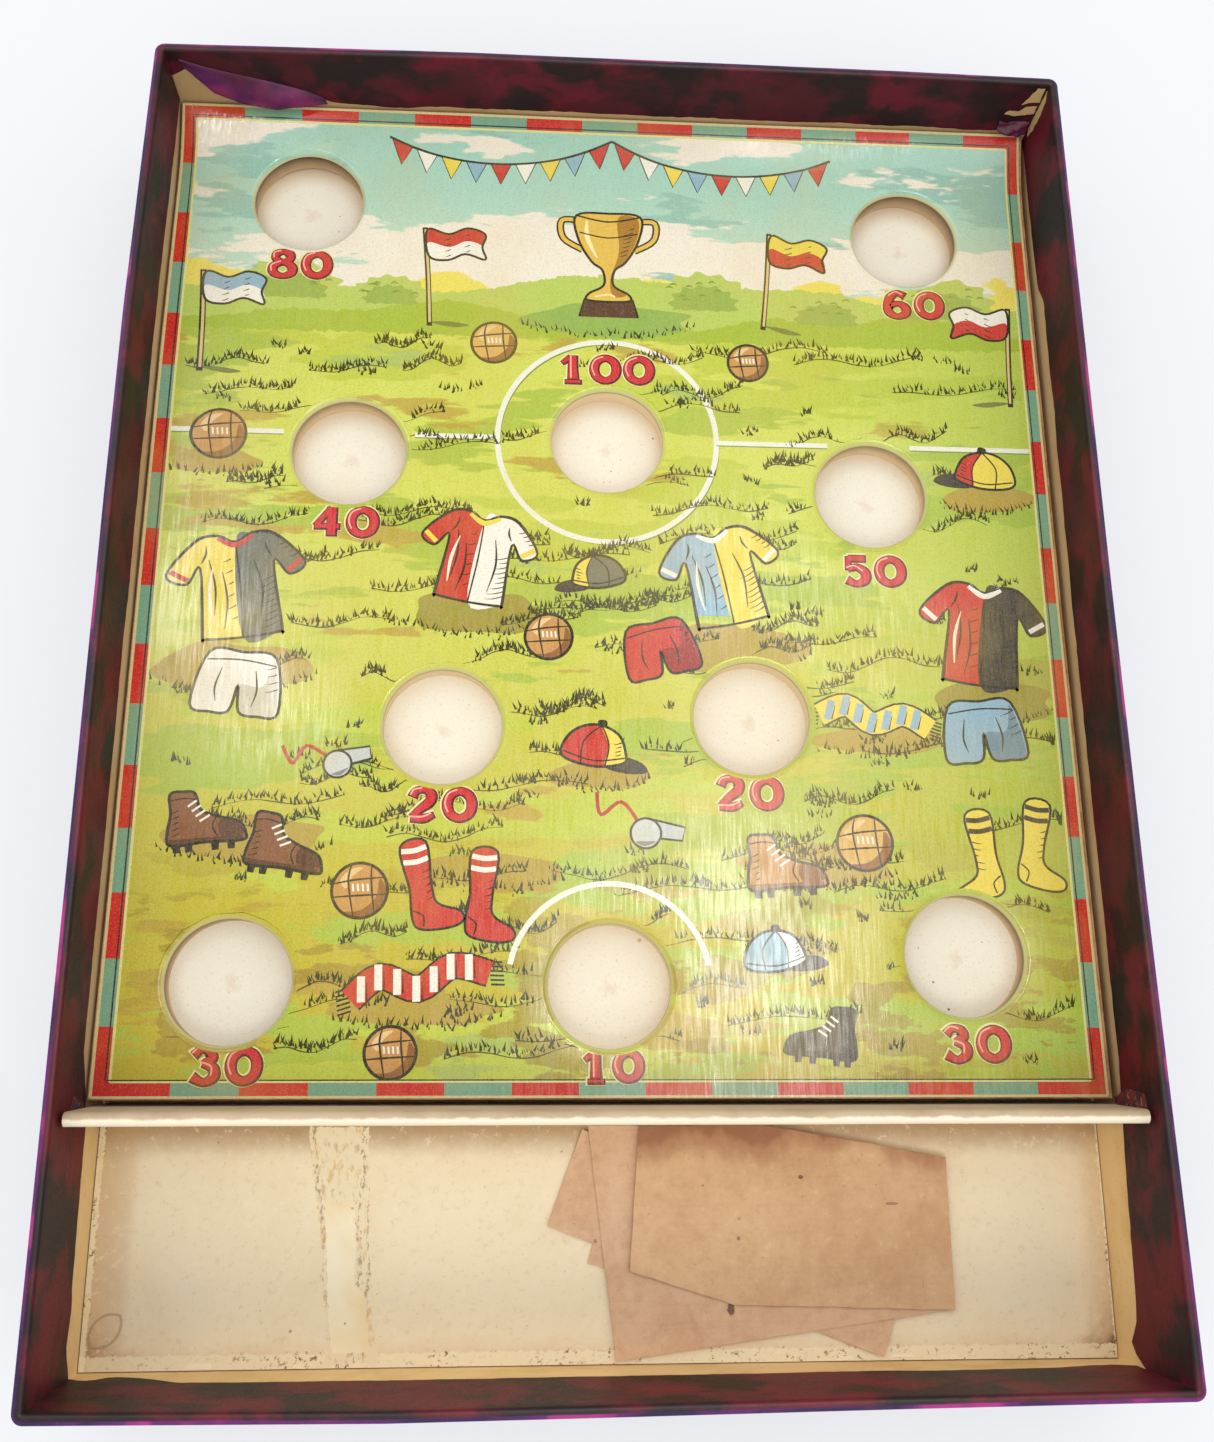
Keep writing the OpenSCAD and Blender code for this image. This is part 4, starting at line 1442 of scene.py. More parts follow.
class Pen:
    """Draws a motif in its own millimetres. It takes points, or a path written "x y, x y"."""

    def __init__(self, x, y, size=1.0, turn=0.0, flip=1.0):
        self.middle, self.size, self.flip = (x, y), size, flip
        self.turn = (math.cos(math.radians(turn)), math.sin(math.radians(turn)))

    def at(self, points):
        """Where the motif's points are on the print."""
        points = path(points) if isinstance(points, str) else points
        (x, y), (c, s) = self.middle, self.turn
        points = [(u * self.flip, v) for u, v in points]
        return [((x + self.size * (c * u - s * v)) * MM, (y + self.size * (s * u + c * v)) * MM)
                for u, v in points]

    def fill(self, points, colour, soft=True):
        fill(self.at(points), colour, soft)

    def line(self, points, width, colour=DARK, **kind):
        stroke(self.at(points), width, colour, **kind)

    def hatch(self, ends, count, length):
        """A row of short slanted strokes between two ends, each a little different."""
        (a, b), (c, d) = path(ends)
        for i in range(count):
            t = (i + 0.5) / count
            u, v = a + (c - a) * t, b + (d - b) * t
            own = length * draw.uniform(0.6, 1.2)
            self.line([(u, v), (u - own * 0.55, v - own * 0.25), (u - own, v - own * 0.35)], HATCHING)


print("the pen is ready; a hatching stroke starts", HATCHING[0], "mm wide")

# %% Shirt and shorts


def shirt(pen, left, right, trim):
    fresh_ink(DRAWING)
    whole = path("-3.4 10, -8 9.2, -13.5 2.6, -10.2 0.2, -7.3 3.4, -7.8 -11, -7.2 -11.8, 0 -12.2, "
                 "7.2 -11.8, 7.8 -11, 7.3 3.4, 10.2 0.2, 13.5 2.6, 8 9.2, 3.4 10, 0 8.2")
    pen.fill(whole, left)
    pen.fill(whole[7:], right)
    pen.hatch("7.4 1, 7.6 -10", 9, 3.2)
    pen.hatch("-1.2 6, -0.6 -9", 6, 1.8)
    pen.hatch("12.4 4, 9.4 7.6", 4, 1.6)
    pen.line(whole, [0.7, 0.8, 0.6, 0.7, 0.6, 0.9, 0.7, 0.6] * 2, closed=True)
    pen.line("0 8, 0.3 -1, 0 -12", 0.4)
    folds = ["-5.5 5, -4.6 -1, -5.2 -7", "-3 2, -2.4 -4, -3.4 -10",
             "3.4 4, 4.6 -2, 3.8 -9", "-7 4.4, -6 6.2, -5.8 8", "7 4.4, 6.2 6, 6 7.6"]
    for fold in folds:
        pen.line(fold, [0.2, 0.55, 0.15])
    pen.line("-4.8 3.5, -5.8 -2, -5.6 -8", [0.2, 0.9, 0.3], (248, 240, 214))
    pen.line("-3.4 9.6, 0 7.6, 3.4 9.6", 1.5, trim)
    pen.line("-3.6 10.1, 0 8.5, 3.6 10.1", 0.35)
    pen.line("-12.8 3.2, -9.9 1.0", 1.3, trim, soft=False)
    pen.line("12.8 3.2, 9.9 1.0", 1.3, trim, soft=False)


def shorts(pen, cloth, shade):
    fresh_ink(DRAWING)
    whole = "-6.6 5, 0 5.6, 6.6 5, 8.6 -6, 4.6 -7.2, 1.0 -6.6, 0 -1.2, -1.0 -6.6, -4.6 -7.2, -8.6 -6"
    pen.fill(whole, cloth)
    pen.fill("0.4 -1.2, 1.0 -6.4, 4.6 -7, 8.2 -6, 6.4 4.4, 4.8 -1", shade)
    pen.hatch("8 -2, 6.8 4", 4, 2.4)
    pen.line(whole, 0.7, closed=True)
    pen.line("-6.8 3.4, 0 4, 6.8 3.4", 0.4)
    for fold in ["-3.6 2, -4.4 -2, -3.8 -5", "3 2, 3.8 -2, 3.2 -5.4"]:
        pen.line(fold, [0.2, 0.5, 0.15])


print("motifs: shirt and shorts")

# %% Boot and sock


def boot(pen, leather, shade):
    fresh_ink(DRAWING)
    for heel in (-5.2, -2.6, 3.0, 6.4):
        pen.fill([(heel - 0.9, -4.8), (heel + 0.9, -4.8), (heel + 0.7, -6.6), (heel - 0.7, -6.6)], DARK,
                 soft=False)
    whole = ("-6.2 6.4, -3.4 6.8, -0.9 6.2, 0.2 2.6, 3.6 0.8, 8.2 -0.8, 9.6 -3.4, 8.8 -4.9, 1 -4.7, "
             "-6.4 -4.9, -7.0 -2, -6.2 2")
    pen.fill(whole, leather)
    pen.fill("4.6 0.2, 8.0 -1.2, 9.2 -3.4, 5 -3.9, 3.8 -2", shade)
    pen.fill("-6.8 -3.6, 8.9 -3.8, 8.9 -5, -6.6 -5", shade, soft=False)
    pen.line(whole, 0.75, closed=True)
    pen.line("3.4 0.8, 2.6 -1.4, 3.6 -3.6", 0.4)
    pen.line("-6.4 4.9, -3.4 5.3, -0.7 4.8", 0.35)
    for i in range(4):
        pen.line([(-0.6 + 0.9 * i, 4.6 - 1.15 * i), (-2.5 + 0.8 * i, 3.4 - 1.15 * i)], 0.55, CHALK,
                 soft=False)
    pen.hatch("-4.4 3.4, -4.6 -3", 5, 1.6)


def sock(pen, wool, band):
    fresh_ink(DRAWING)
    whole = "-2.8 9, 2.6 9.2, 2.2 0, 2.8 -4, 7.0 -6.4, 7.2 -8.6, 4 -9.4, -1.6 -8.6, -2.9 -6, -2.4 0"
    pen.fill(whole, wool)
    for v in (8.0, 5.6):
        pen.line([(-2.7, v), (0, v - 0.3), (2.5, v + 0.1)], 1.3, band)
    pen.hatch("2.2 4, 2.4 -3", 5, 1.7)
    pen.line(whole, 0.6, closed=True)
    pen.line("-2.4 -4.6, -0.6 -6, -0.9 -8.2", 0.4)


print("motifs: boot and sock")

# %% Ball, flag, cup and whistle


def ball(pen, leather=(206, 150, 84)):
    fresh_ink(DRAWING)
    ring = [(6.2 * math.cos(a), 6.2 * math.sin(a)) for a in np.linspace(0, 5.75, 12)]
    pen.fill(ring, leather)
    pen.fill("5.9 0, 4.6 -4, 0.6 -6, -3.6 -4.9, 0.4 -4.4, 3.6 -1.6, 4.4 2.6", (150, 96, 52))
    pen.fill("-4.4 2.2, -2.4 4.6, 0.6 5.2, -1.8 3, -3 0.4", (238, 200, 140))
    for seam in ["-6 1.4, -1 2.4, 5.4 3", "-6 -1.6, -1 -1.2, 6 -0.8", "-2 5.8, -2.6 2, -1.2 -6",
                 "2.4 5.6, 2.6 1, 3.4 -5"]:
        pen.line(seam, [0.3, 0.5, 0.3])
    for i in range(4):
        pen.line([(-1.6 + i * 1.1, 1.5), (-1.4 + i * 1.1, -0.2)], 0.5, CHALK, soft=False)
    pen.line(ring, 0.75, closed=True)


def corner_flag(pen, cloth, other):
    fresh_ink(DRAWING)
    pen.fill("0.4 -13, 6 -14.6, 10 -14.2, 5 -13", (120, 130, 60))
    pen.line("0 -14, 0.2 0, 0 14.6", 1.5)
    pen.line("0.1 -13, 0.3 0, 0.1 14", 0.7, (226, 196, 130))
    flag = "0.6 14, 6 12.4, 11 14, 15.4 12, 14.4 8.2, 15 4.6, 10 6.4, 5.4 4.8, 0.6 6.2"
    pen.fill(flag, cloth)
    pen.fill("0.7 10.2, 6 8.6, 10.6 10.2, 14.6 8.4, 14.8 4.8, 10 6.4, 5.4 4.9, 0.7 6.2", other)
    pen.hatch("6.4 12, 6.2 5.4", 4, 1.8)
    pen.hatch("11.4 13, 11.2 6.6", 4, 1.4)
    pen.line(flag, 0.65, closed=True)


def cup(pen):
    fresh_ink(DRAWING)
    gold, shade, glint = (232, 190, 84), (176, 124, 48), (252, 236, 168)
    for side in (-1, 1):
        handle = [(7.2 * side, 10.6), (11.6 * side, 10.4), (11.2 * side, 5.4), (6.4 * side, 2.2)]
        pen.line(handle, 2.2)
        pen.line(handle, 1.2, gold)
    pen.fill("-6 -11.5, 6 -11.5, 7.2 -16.5, -7.2 -16.5", (92, 60, 44), soft=False)
    pen.line("-7.2 -16.4, -6 -11.6, 6 -11.6, 7.2 -16.4", 0.6, soft=False)
    whole = ("-8 12, 0 12.8, 8 12, 7.4 5, 4.2 -1, 1.5 -3.4, 1.2 -7.6, 4.8 -10, 5.2 -11.8, 0 -12.2, "
             "-5.2 -11.8, -4.8 -10, -1.2 -7.6, -1.5 -3.4, -4.2 -1, -7.4 5")
    pen.fill(whole, gold)
    pen.fill("2.4 11.6, 7.4 11.4, 6.9 5, 3.8 -1, 1.2 -3.2, 1.1 -7.4, 4.4 -10.2, 1.2 -10.6, 0.4 -6, 2.6 2",
             shade)
    pen.line("-5.4 10.6, -5.2 5.6, -2.8 0", [0.6, 1.4, 0.4], glint)
    pen.line("-3.4 -10.8, 0 -10.2, 1.6 -10.8", 0.5, glint)
    pen.line(whole, 0.7, closed=True)
    pen.line("-8 12, 0 10.4, 8 12", 0.5)
    pen.line("-7.2 7.2, 0 5.8, 7.2 7.2", 0.4)
    pen.hatch("6.6 9.4, 4.4 0.6", 7, 2.6)


def whistle(pen):
    fresh_ink(DRAWING)
    pen.line("-2 2, -7 6, -11 2, -13 7", 0.9, (188, 48, 44))
    pen.fill("-0.5 3.4, 8.6 3.2, 8.6 0.2, 3 -0.6", (196, 200, 190), soft=False)
    ring = [(3.5 * math.cos(a), 3.5 * math.sin(a)) for a in np.linspace(0, 5.6, 10)]
    pen.fill(ring, (206, 208, 196))
    pen.fill("2.6 -1.4, 0.4 -3, -1.8 -2.4, 0.6 -1.8", (130, 134, 128))
    pen.line(ring, 0.6, closed=True)
    pen.line("0.4 3.5, 8.6 3.3, 8.6 0.1, 3.4 -0.5", 0.55, soft=False)


print("motifs: ball, flag, cup and whistle")

# %% Cap, scarf, bushes and bunting


def cap(pen, cloth, panel):
    fresh_ink(DRAWING)
    crown = "-6.5 -1.5, -6 2.5, -3 5.2, 1 5.8, 4.8 4, 6.4 0.4, 6 -1.8, 0 -3"
    pen.fill("4.6 -0.4, 9.5 -1.0, 11.2 -3, 7.5 -3.8, 2.6 -3", BLACK)
    pen.fill(crown, cloth)
    pen.fill("1 5.8, 4.8 4, 6.4 0.4, 6 -1.8, 2.4 -2.6, 2.8 1.5", panel)
    pen.line("1 5.8, -2.4 2.2, -2.6 -2.5", 0.4)
    pen.line("1 5.8, 2.8 1.8, 2.4 -2.7", 0.4)
    pen.line("-6.4 -0.4, 0 -1.8, 6.3 -0.6", 0.4)
    pen.hatch("5.4 3, 5.4 -0.4", 4, 1.5)
    pen.line(crown, 0.7, closed=True)
    pen.fill("0.2 6.8, 1.8 6.9, 1.9 5.6, 0.3 5.5", DARK)


def scarf(pen, first, second):
    fresh_ink(DRAWING)
    line = [(-16, -2), (-9, 2.2), (-1, -1.6), (7, 2.4), (15, -0.4)]
    places, heights = zip(*[(p.x, p.y) for p in curved(line, closed=False)])
    for side in (0, -1):
        for k in range(6):
            u, v = places[side], heights[side] - 2.4 + k
            pen.line([(u, v), (u + (3.0 if side else -3.0), v - 0.5)], 0.45, soft=False)
    pen.line(line, 6.8)
    pen.line(line, 5.8, first)
    for u in (-13.4, -9.4, -5.4, -1.4, 2.6, 6.6, 10.6):
        v = float(np.interp(u, places, heights))
        pen.line([(u - 0.3, v - 2.8), (u + 0.3, v + 2.8)], 1.9, second, soft=False)
        pen.line([(u + 1.0, v - 2.6), (u + 1.4, v + 1.4)], [0.4, 0.15], soft=False)


def bush(x, y, wide, tall, leaf=(190, 204, 100), shade=(158, 180, 80)):
    """A round bush on the horizon: two inks with lobed edges and a few loose leaves."""
    fresh_ink(1)
    for size, colour, drop in ((1.0, leaf, 0.0), (0.72, shade, -0.22)):
        points = []
        for i in range(26):
            a = 2 * math.pi * i / 26
            reach = size * (1.0 + (0.09 if i % 2 else -0.07) * draw.uniform(0.6, 1.3))
            up = drop + reach * max(-0.35, math.sin(a))
            points.append(((x + wide * reach * math.cos(a)) * MM, (y + tall * up) * MM))
        fill(points, colour)
    for i in range(9):
        u, v = x + wide * draw.uniform(-0.8, 0.8), y + tall * draw.uniform(-0.1, 0.7)
        Pen(u, v).line("-1.1 0, 0 0.5, 1.1 0.1", [0.2, 0.6, 0.2], (136, 160, 62))


def bunting(start, end, sag, count):
    """A cord of small pennants that hangs between two points."""
    fresh_ink(DRAWING)
    spots = []
    for k in range(count + 1):
        t = k / count
        x, y = (a + (b - a) * t for a, b in zip(start, end))
        spots.append((x, y - sag * 4 * t * (1 - t)))
    colours = (RED, WHITE, YELLOW, BLUE)
    for k, ((x, y), (u, v)) in enumerate(zip(spots, spots[1:])):
        pennant = [(x + 0.6, y), (u - 0.6, v), ((x + u) / 2, (y + v) / 2 - 6.4)]
        pennant = [(a * MM, b * MM) for a, b in pennant]
        fill(pennant, colours[k % 4], soft=False)
        stroke(pennant, 0.4, DARK, closed=True, soft=False)
    stroke([(x * MM, y * MM) for x, y in spots], 0.6, DARK)


print("motifs: cap, scarf, bush and bunting")

# %% Stamp the drawings
RED, YELLOW, SLATE = (206, 60, 50), (240, 216, 84), (112, 112, 96)
BLUE, BLACK, WHITE = (148, 182, 196), (66, 58, 52), (246, 240, 222)
BROWN, TAN = (140, 88, 54), (196, 146, 92)


def drawings():
    for place in ((-90, 112, 14, 8), (-62, 110, 10, 6), (26, 112, 13, 8), (61, 108, 12, 7),
                  (94, 112, 16, 9)):
        bush(*place)
    bunting((-64, 160), (0, 161), 7, 9)
    bunting((0, 161), (64, 158), 7, 9)
    ground(-97, 0, 20, 7)
    shirt(Pen(-98, 24, 1.30, 8), YELLOW, SLATE, RED)
    shorts(Pen(-96, -3, 1.30, -6), WHITE, (214, 206, 182))
    ground(-92, -44, 21, 6)
    boot(Pen(-103, -40, 1.15, 6), BROWN, (98, 60, 40))
    boot(Pen(-83, -46, 1.15, -8), BROWN, (98, 60, 40))
    ground(-36, 16, 18, 6, (164, 150, 60))
    shirt(Pen(-36, 33, 1.15, -10), RED, WHITE, YELLOW)
    ball(Pen(-17, 10, 1.0))
    ground(-30, -52, 17, 5)
    sock(Pen(-48, -56, 1.2, 12), RED, WHITE)
    sock(Pen(-33, -58, 1.2, -4), RED, WHITE)
    ball(Pen(-63, -57, 1.1))
    ground(30, 8, 22, 7)
    shirt(Pen(29, 29, 1.22, 12), BLUE, YELLOW, WHITE)
    shorts(Pen(12, 8, 1.15, 14), RED, (160, 40, 40))
    ground(100, -6, 16, 6, (164, 150, 60))
    shirt(Pen(99, 14, 1.28, -7), RED, BLACK, WHITE)
    shorts(Pen(97, -13, 1.28, 5), BLUE, (112, 144, 160))
    ground(52, -50, 20, 6)
    boot(Pen(42, -50, 1.2, 4), TAN, BROWN)
    ball(Pen(64, -44, 1.15), (222, 176, 96))
    sock(Pen(108, -44, 1.2, -10), YELLOW, BLACK)
    sock(Pen(95, -47, 1.2, 8, -1), YELLOW, BLACK)
    whistle(Pen(8, -42, 1.1, -12))
    ground(-1, 104, 24, 5, (150, 180, 84))
    cup(Pen(-1, 124, 1.15))
    corner_flag(Pen(-52, 116, 1.1, 4), RED, WHITE)
    corner_flag(Pen(44, 118, 1.1, -5), YELLOW, RED)
    corner_flag(Pen(-113, 100, 1.1, 2), BLUE, WHITE)
    corner_flag(Pen(113, 96, 1.1, -3, -1), WHITE, RED)
    ball(Pen(-33, 96, 1.0), (222, 176, 96))
    ball(Pen(38, 92, 0.9))
    ball(Pen(-54, -96, 1.0))
    boot(Pen(52, -92, 1.05, -6, -1), BLACK, (40, 34, 30))
    ground(-4, -27, 13, 4)
    cap(Pen(-5, -21, 1.25, -6), RED, YELLOW)
    ground(-48, -86, 20, 4)
    scarf(Pen(-47, -79, 1.1, 8), RED, WHITE)
    cap(Pen(40, -73, 1.15, 8), BLUE, WHITE)
    cap(Pen(-4, 27, 1.05, 4, -1), SLATE, YELLOW)
    ground(-106, 58, 12, 4)
    ball(Pen(-106, 66, 1.15))
    ground(103, 52, 13, 4)
    cap(Pen(103, 59, 1.25, -8, -1), YELLOW, RED)
    whistle(Pen(-70, -25, 1.0, 10))
    ground(69, -17, 17, 4)
    scarf(Pen(69, -11, 0.95, -10), YELLOW, BLUE)


drawings()
print("drawing shapes:", len(ink_shapes))

# %% [markdown]
# ## Score numbers
# Each pocket has its score printed by it, as bold rounded figures. A figure is one to three
# strokes that swell and thin, as a sign writer's brush does. Printing the same strokes three
# times, first wide and pale, then dark and a little shifted, and then in red, gives the halo,
# the outline that is heavier on one side, and the fill.

# %% Figures
# Each stroke is a path of points, each with its width
FIGURES = {
    "0": ["0 3.5 1.8, 2.3 2.4 2.1, 3.1 0 2.3, 2.3 -2.4 2.1, 0 -3.5 1.8, -2.3 -2.4 2.1, -3.1 0 2.3, "
          "-2.3 2.4 2.1"],
    "1": ["-2.5 1.7 1, -0.4 3.3 1.7",
          "0.4 3.9 2.3, 0.4 0 2.4, 0.5 -3.3 2.8",
          "-1.7 -4.1 1, 2.7 -4.1 1"],
    "2": ["-2.4 2.0 2.2, -1.6 3.4 1.7, 0.5 3.8 1.5, 2.3 2.6 2.2, 1.9 0.7 2.3, -0.4 -1.2 1.8, "
          "-2.5 -3.2 1.4",
          "-2.7 -3.5 1.7, 0.6 -3.6 1.9, 2.9 -2.6 1.2"],
    "3": ["-2.3 2.5 2, -0.7 3.8 1.5, 1.4 3.3 1.9, 1.9 1.7 2.1, -0.2 0.5 1.3",
          "-0.2 0.5 1.3, 2.3 -0.5 2.1, 2.4 -2.6 2.3, 0.1 -3.8 1.5, -2.4 -2.6 2.1"],
    "4": ["1.0 4.0 1.3, -2.8 -1.2 1.5",
          "-3.2 -1.4 1.4, 3.3 -1.4 1.4",
          "1.3 4.1 2.4, 1.3 -4.0 2.4"],
    "5": ["-1.8 3.5 1.7, 2.6 3.5 1.7",
          "-2.0 4.0 1.3, -2.1 0.3 1.3",
          "-2.1 0.4 1.3, 0.2 1.0 1.7, 2.5 -0.5 2.3, 2.3 -2.7 2.3, 0 -3.8 1.5, -2.4 -2.7 2.1"],
    "6": ["2.2 2.9 2, 0.3 3.8 1.5, -1.8 2.5 2.1, -2.7 -0.4 2.3, -2.3 -2.6 2.2, 0 -3.8 1.5, 2.4 -2.7 2.2, "
          "2.4 -0.8 2.2, 0.2 0.4 1.4, -2.0 -0.5 1.2"],
    "8": ["0 3.8 1.4, 1.9 3.1 1.9, 1.9 1.5 1.9, 0 0.6 1.4, -1.9 1.5 1.9, -1.9 3.1 1.9",
          "0 0.4 1.4, 2.5 -0.8 2.2, 2.5 -2.8 2.2, 0 -3.9 1.4, -2.5 -2.8 2.2, -2.5 -0.8 2.2"],
}
CLOSED = "08"
ADVANCE = 9.4
# How much wider than the figure each ink is, its shift across and up, and its colour
NUMBER_INKS = [(1.3, 0.0, 0.0, (238, 230, 160)), (0.7, 0.16, -0.16, (96, 22, 34)),
               (-0.2, 0.0, 0.0, (210, 38, 54))]
GLINT = (250, 178, 160)


def number(text, x, y, size=1.0):
    """Prints a score about a middle point: pale halo, dark outline, red fill and a light line."""
    fresh_ink(NUMBER)
    strokes = []
    for i, figure in enumerate(text):
        middle = x + (i - (len(text) - 1) / 2) * ADVANCE * size
        strokes += [(middle, figure in CLOSED, path(line)) for line in FIGURES[figure]]
    for grow, across, up, colour in NUMBER_INKS:
        for middle, closed, points in strokes:
            placed = Pen(middle + across, y + up, size).at([point[:2] for point in points])
            stroke(placed, [point[2] * size for point in points], colour, closed, grow)
    for middle, closed, points in strokes:
        part = points[len(points) // 2 + 1:] + points[:1] if closed else points[:3]
        if len(part) > 2:
            Pen(middle - 0.5 * size, y + 0.35 * size, size).line([point[:2] for point in part], 0.42, GLINT)


SCORES = [("80", -87.6, 118.7), ("60", 86.2, 112.2), ("40", -71.4, 41.2), ("100", -2.1, 88.7),
          ("50", 70.1, 30.4), ("20", -43.8, -35.1), ("20", 34.4, -31.3), ("30", -93.1, -98.9),
          ("10", -1.0, -99.0, 0.88), ("30", 88.7, -93.8)]
for score in SCORES:
    number(*score)
print("shapes with the numbers:", len(ink_shapes))

# %% [markdown]
# ## Border of red and teal blocks
# The frame of the print is a row of blocks, red and teal in turn, with a fine dark line along
# it. What repeats like this is a job for Geometry Nodes: a line of points, a block set on
# each point, and every second block in the other ink.

# %% Border nodes
BAND = 3.1 * MM
BLOCK_T = 0.012 * MM
BLOCK_RED = paint(212, 40, 40)
BLOCK_TEAL = paint(126, 172, 142)


def field_tree(name, **takes):
    """An empty Geometry Nodes tree with named inputs, each with its kind of socket."""
    tree = bpy.data.node_groups.new(name, "GeometryNodeTree")
    for socket, kind in {"Geometry": "Geometry", **takes, "Ink": "Material"}.items():
        tree.interface.new_socket(socket, in_out="INPUT", socket_type="NodeSocket" + kind)
    tree.interface.new_socket("Geometry", in_out="OUTPUT", socket_type="NodeSocketGeometry")
    return tree, {output.name: Wire(output) for output in add(tree, "NodeGroupInput").outputs}


def coloured(geometry, colour):
    """Stores the colour of its ink on a block or a blade."""
    made = add(geometry.socket.id_data, "GeometryNodeStoreNamedAttribute",
               {"Geometry": geometry, "Name": "ink"},
               data_type="FLOAT_COLOR", domain="POINT")
    next(s for s in made.inputs if s.name == "Value" and s.enabled).default_value = colour
    return Wire(made.outputs["Geometry"])


def end_tree(placed, ink):
    """Ends a tree: the placed copies become real geometry and get their material."""
    real = tap(placed, "GeometryNodeRealizeInstances", "Geometry", {"Geometry": placed})
    printed = tap(real, "GeometryNodeSetMaterial", "Geometry", {"Geometry": real, "Material": ink})
    add(placed.socket.id_data, "NodeGroupOutput", {"Geometry": printed})


def run_tree(name, mesh, tree, **values):
    """Runs a tree on a mesh and gives back the plain mesh that it makes."""
    base = bpy.data.objects.new(name, mesh)
    bpy.context.scene.collection.objects.link(base)
    modifier = base.modifiers.new("nodes", "NODES")
    modifier.node_group = tree
    values["Ink"] = printing_ink
    for item in tree.interface.items_tree:
        if item.in_out == "INPUT" and item.name in values:
            modifier[item.identifier] = values[item.name]
    bpy.context.view_layer.update()
    graph = bpy.context.evaluated_depsgraph_get()
    real = base.evaluated_get(graph)
    made = bpy.data.meshes.new_from_object(real, preserve_all_data_layers=True, depsgraph=graph)
    base.modifiers.remove(modifier)
    bpy.data.objects.remove(base)
    return made


def make_border_tree():
    tree, given = field_tree("border_blocks", Start="Vector", End="Vector", Count="Int", Block="Vector")
    ends = {"Count": given["Count"], "Start Location": given["Start"], "Offset": given["End"]}
    line = tap(tree, "GeometryNodeMeshLine", "Mesh", ends, mode="END_POINTS")
    odd = maths("MODULO", tap(tree, "GeometryNodeInputIndex", "Index"), 2.0)
    joined = add(tree, "GeometryNodeJoinGeometry")
    for chosen, colour in ((1.0 - odd, BLOCK_RED), (odd, BLOCK_TEAL)):
        block = coloured(tap(tree, "GeometryNodeMeshCube", "Mesh", {"Size": given["Block"]}), colour)
        set_on = {"Points": line, "Selection": chosen, "Instance": block}
        feed(joined.inputs["Geometry"], tap(tree, "GeometryNodeInstanceOnPoints", "Instances", set_on))
    end_tree(Wire(joined.outputs["Geometry"]), given["Ink"])
    return tree


def border_side(name, start, end, over, count):
    """One row of blocks between two corners of the print, given at the band's middle line."""
    start, end = (Vector((*corner, field_z + over * MM)) for corner in (start, end))
    along = (end - start) / count
    block = Vector((abs(along.x) or BAND, abs(along.y) or BAND, BLOCK_T))
    mesh = run_tree(name, bpy.data.meshes.new(name), border_tree, Start=start + along / 2,
                    End=end - along / 2, Count=count, Block=block)
    link_piece(settle(mesh), name, "playing_inset", None)


border_tree = make_border_tree()
PAPER_MARGIN = 0.6 * MM
left, right = print_low.x + PAPER_MARGIN, print_high.x - PAPER_MARGIN
near, far = print_low.y + PAPER_MARGIN, print_high.y - PAPER_MARGIN
half = BAND / 2
# Both ends of each side, its height over the paper in mm, and the number of its blocks
SIDES = [((left, near + half), (right, near + half), 0.002, 15), ((left, far - half), (right, far - half),
                                                                  0.06, 15),
         ((left + half, near), (left + half, far), 0.03, 17), ((right - half, near), (right - half, far),
                                                               0.03, 17)]
for i, side in enumerate(SIDES):
    border_side("border_blocks_" + str(i + 1), *side)
print("border sides:", len(SIDES))

# %% Fine lines along the border


def border_lines():
    """A cream line inside the band, a dark line in it and the bare paper at its outer edge."""
    fresh_ink(40)
    bare = -0.3 * MM
    for inset, near_inset, width, colour in (
            (BAND + 0.15 * MM, BAND + 0.15 * MM, 0.55, (232, 226, 150)),
            (BAND - 0.75 * MM, BAND + 0.5 * MM, 0.32, DARK), (bare, bare, 0.6, (222, 206, 150))):
        a, b, c, d = left + inset, right - inset, near + near_inset, far - inset
        for start, end in (((a, c), (b, c)), ((b, c), (b, d)), ((b, d), (a, d)), ((a, d), (a, c))):
            line = [Vector(start).lerp(Vector(end), k / 24) for k in range(25)]
            stroke(line, width, colour, soft=False)


free_tufts(110, 116)
border_lines()
inks = ink_mesh("printed_inks")
link_piece(inks, "printed_inks", "playing_inset", printing_ink)
print("ink triangles:", sum(len(p.vertices) - 2 for p in inks.polygons))

# %% [markdown]
# ## Grass tufts
# Small dark blades of grass stand in rows under the drawings and here and there on the turf.
# There are hundreds of them, so Geometry Nodes set them along drawn lines: the lines are
# turned into points at an even distance, and each point gets one flat blade of its own size
# and lean from a fixed seed.

# %% Tuft nodes
TUFT_SPACING = 1.0 * MM
TUFT_LIFT = 0.030 * MM


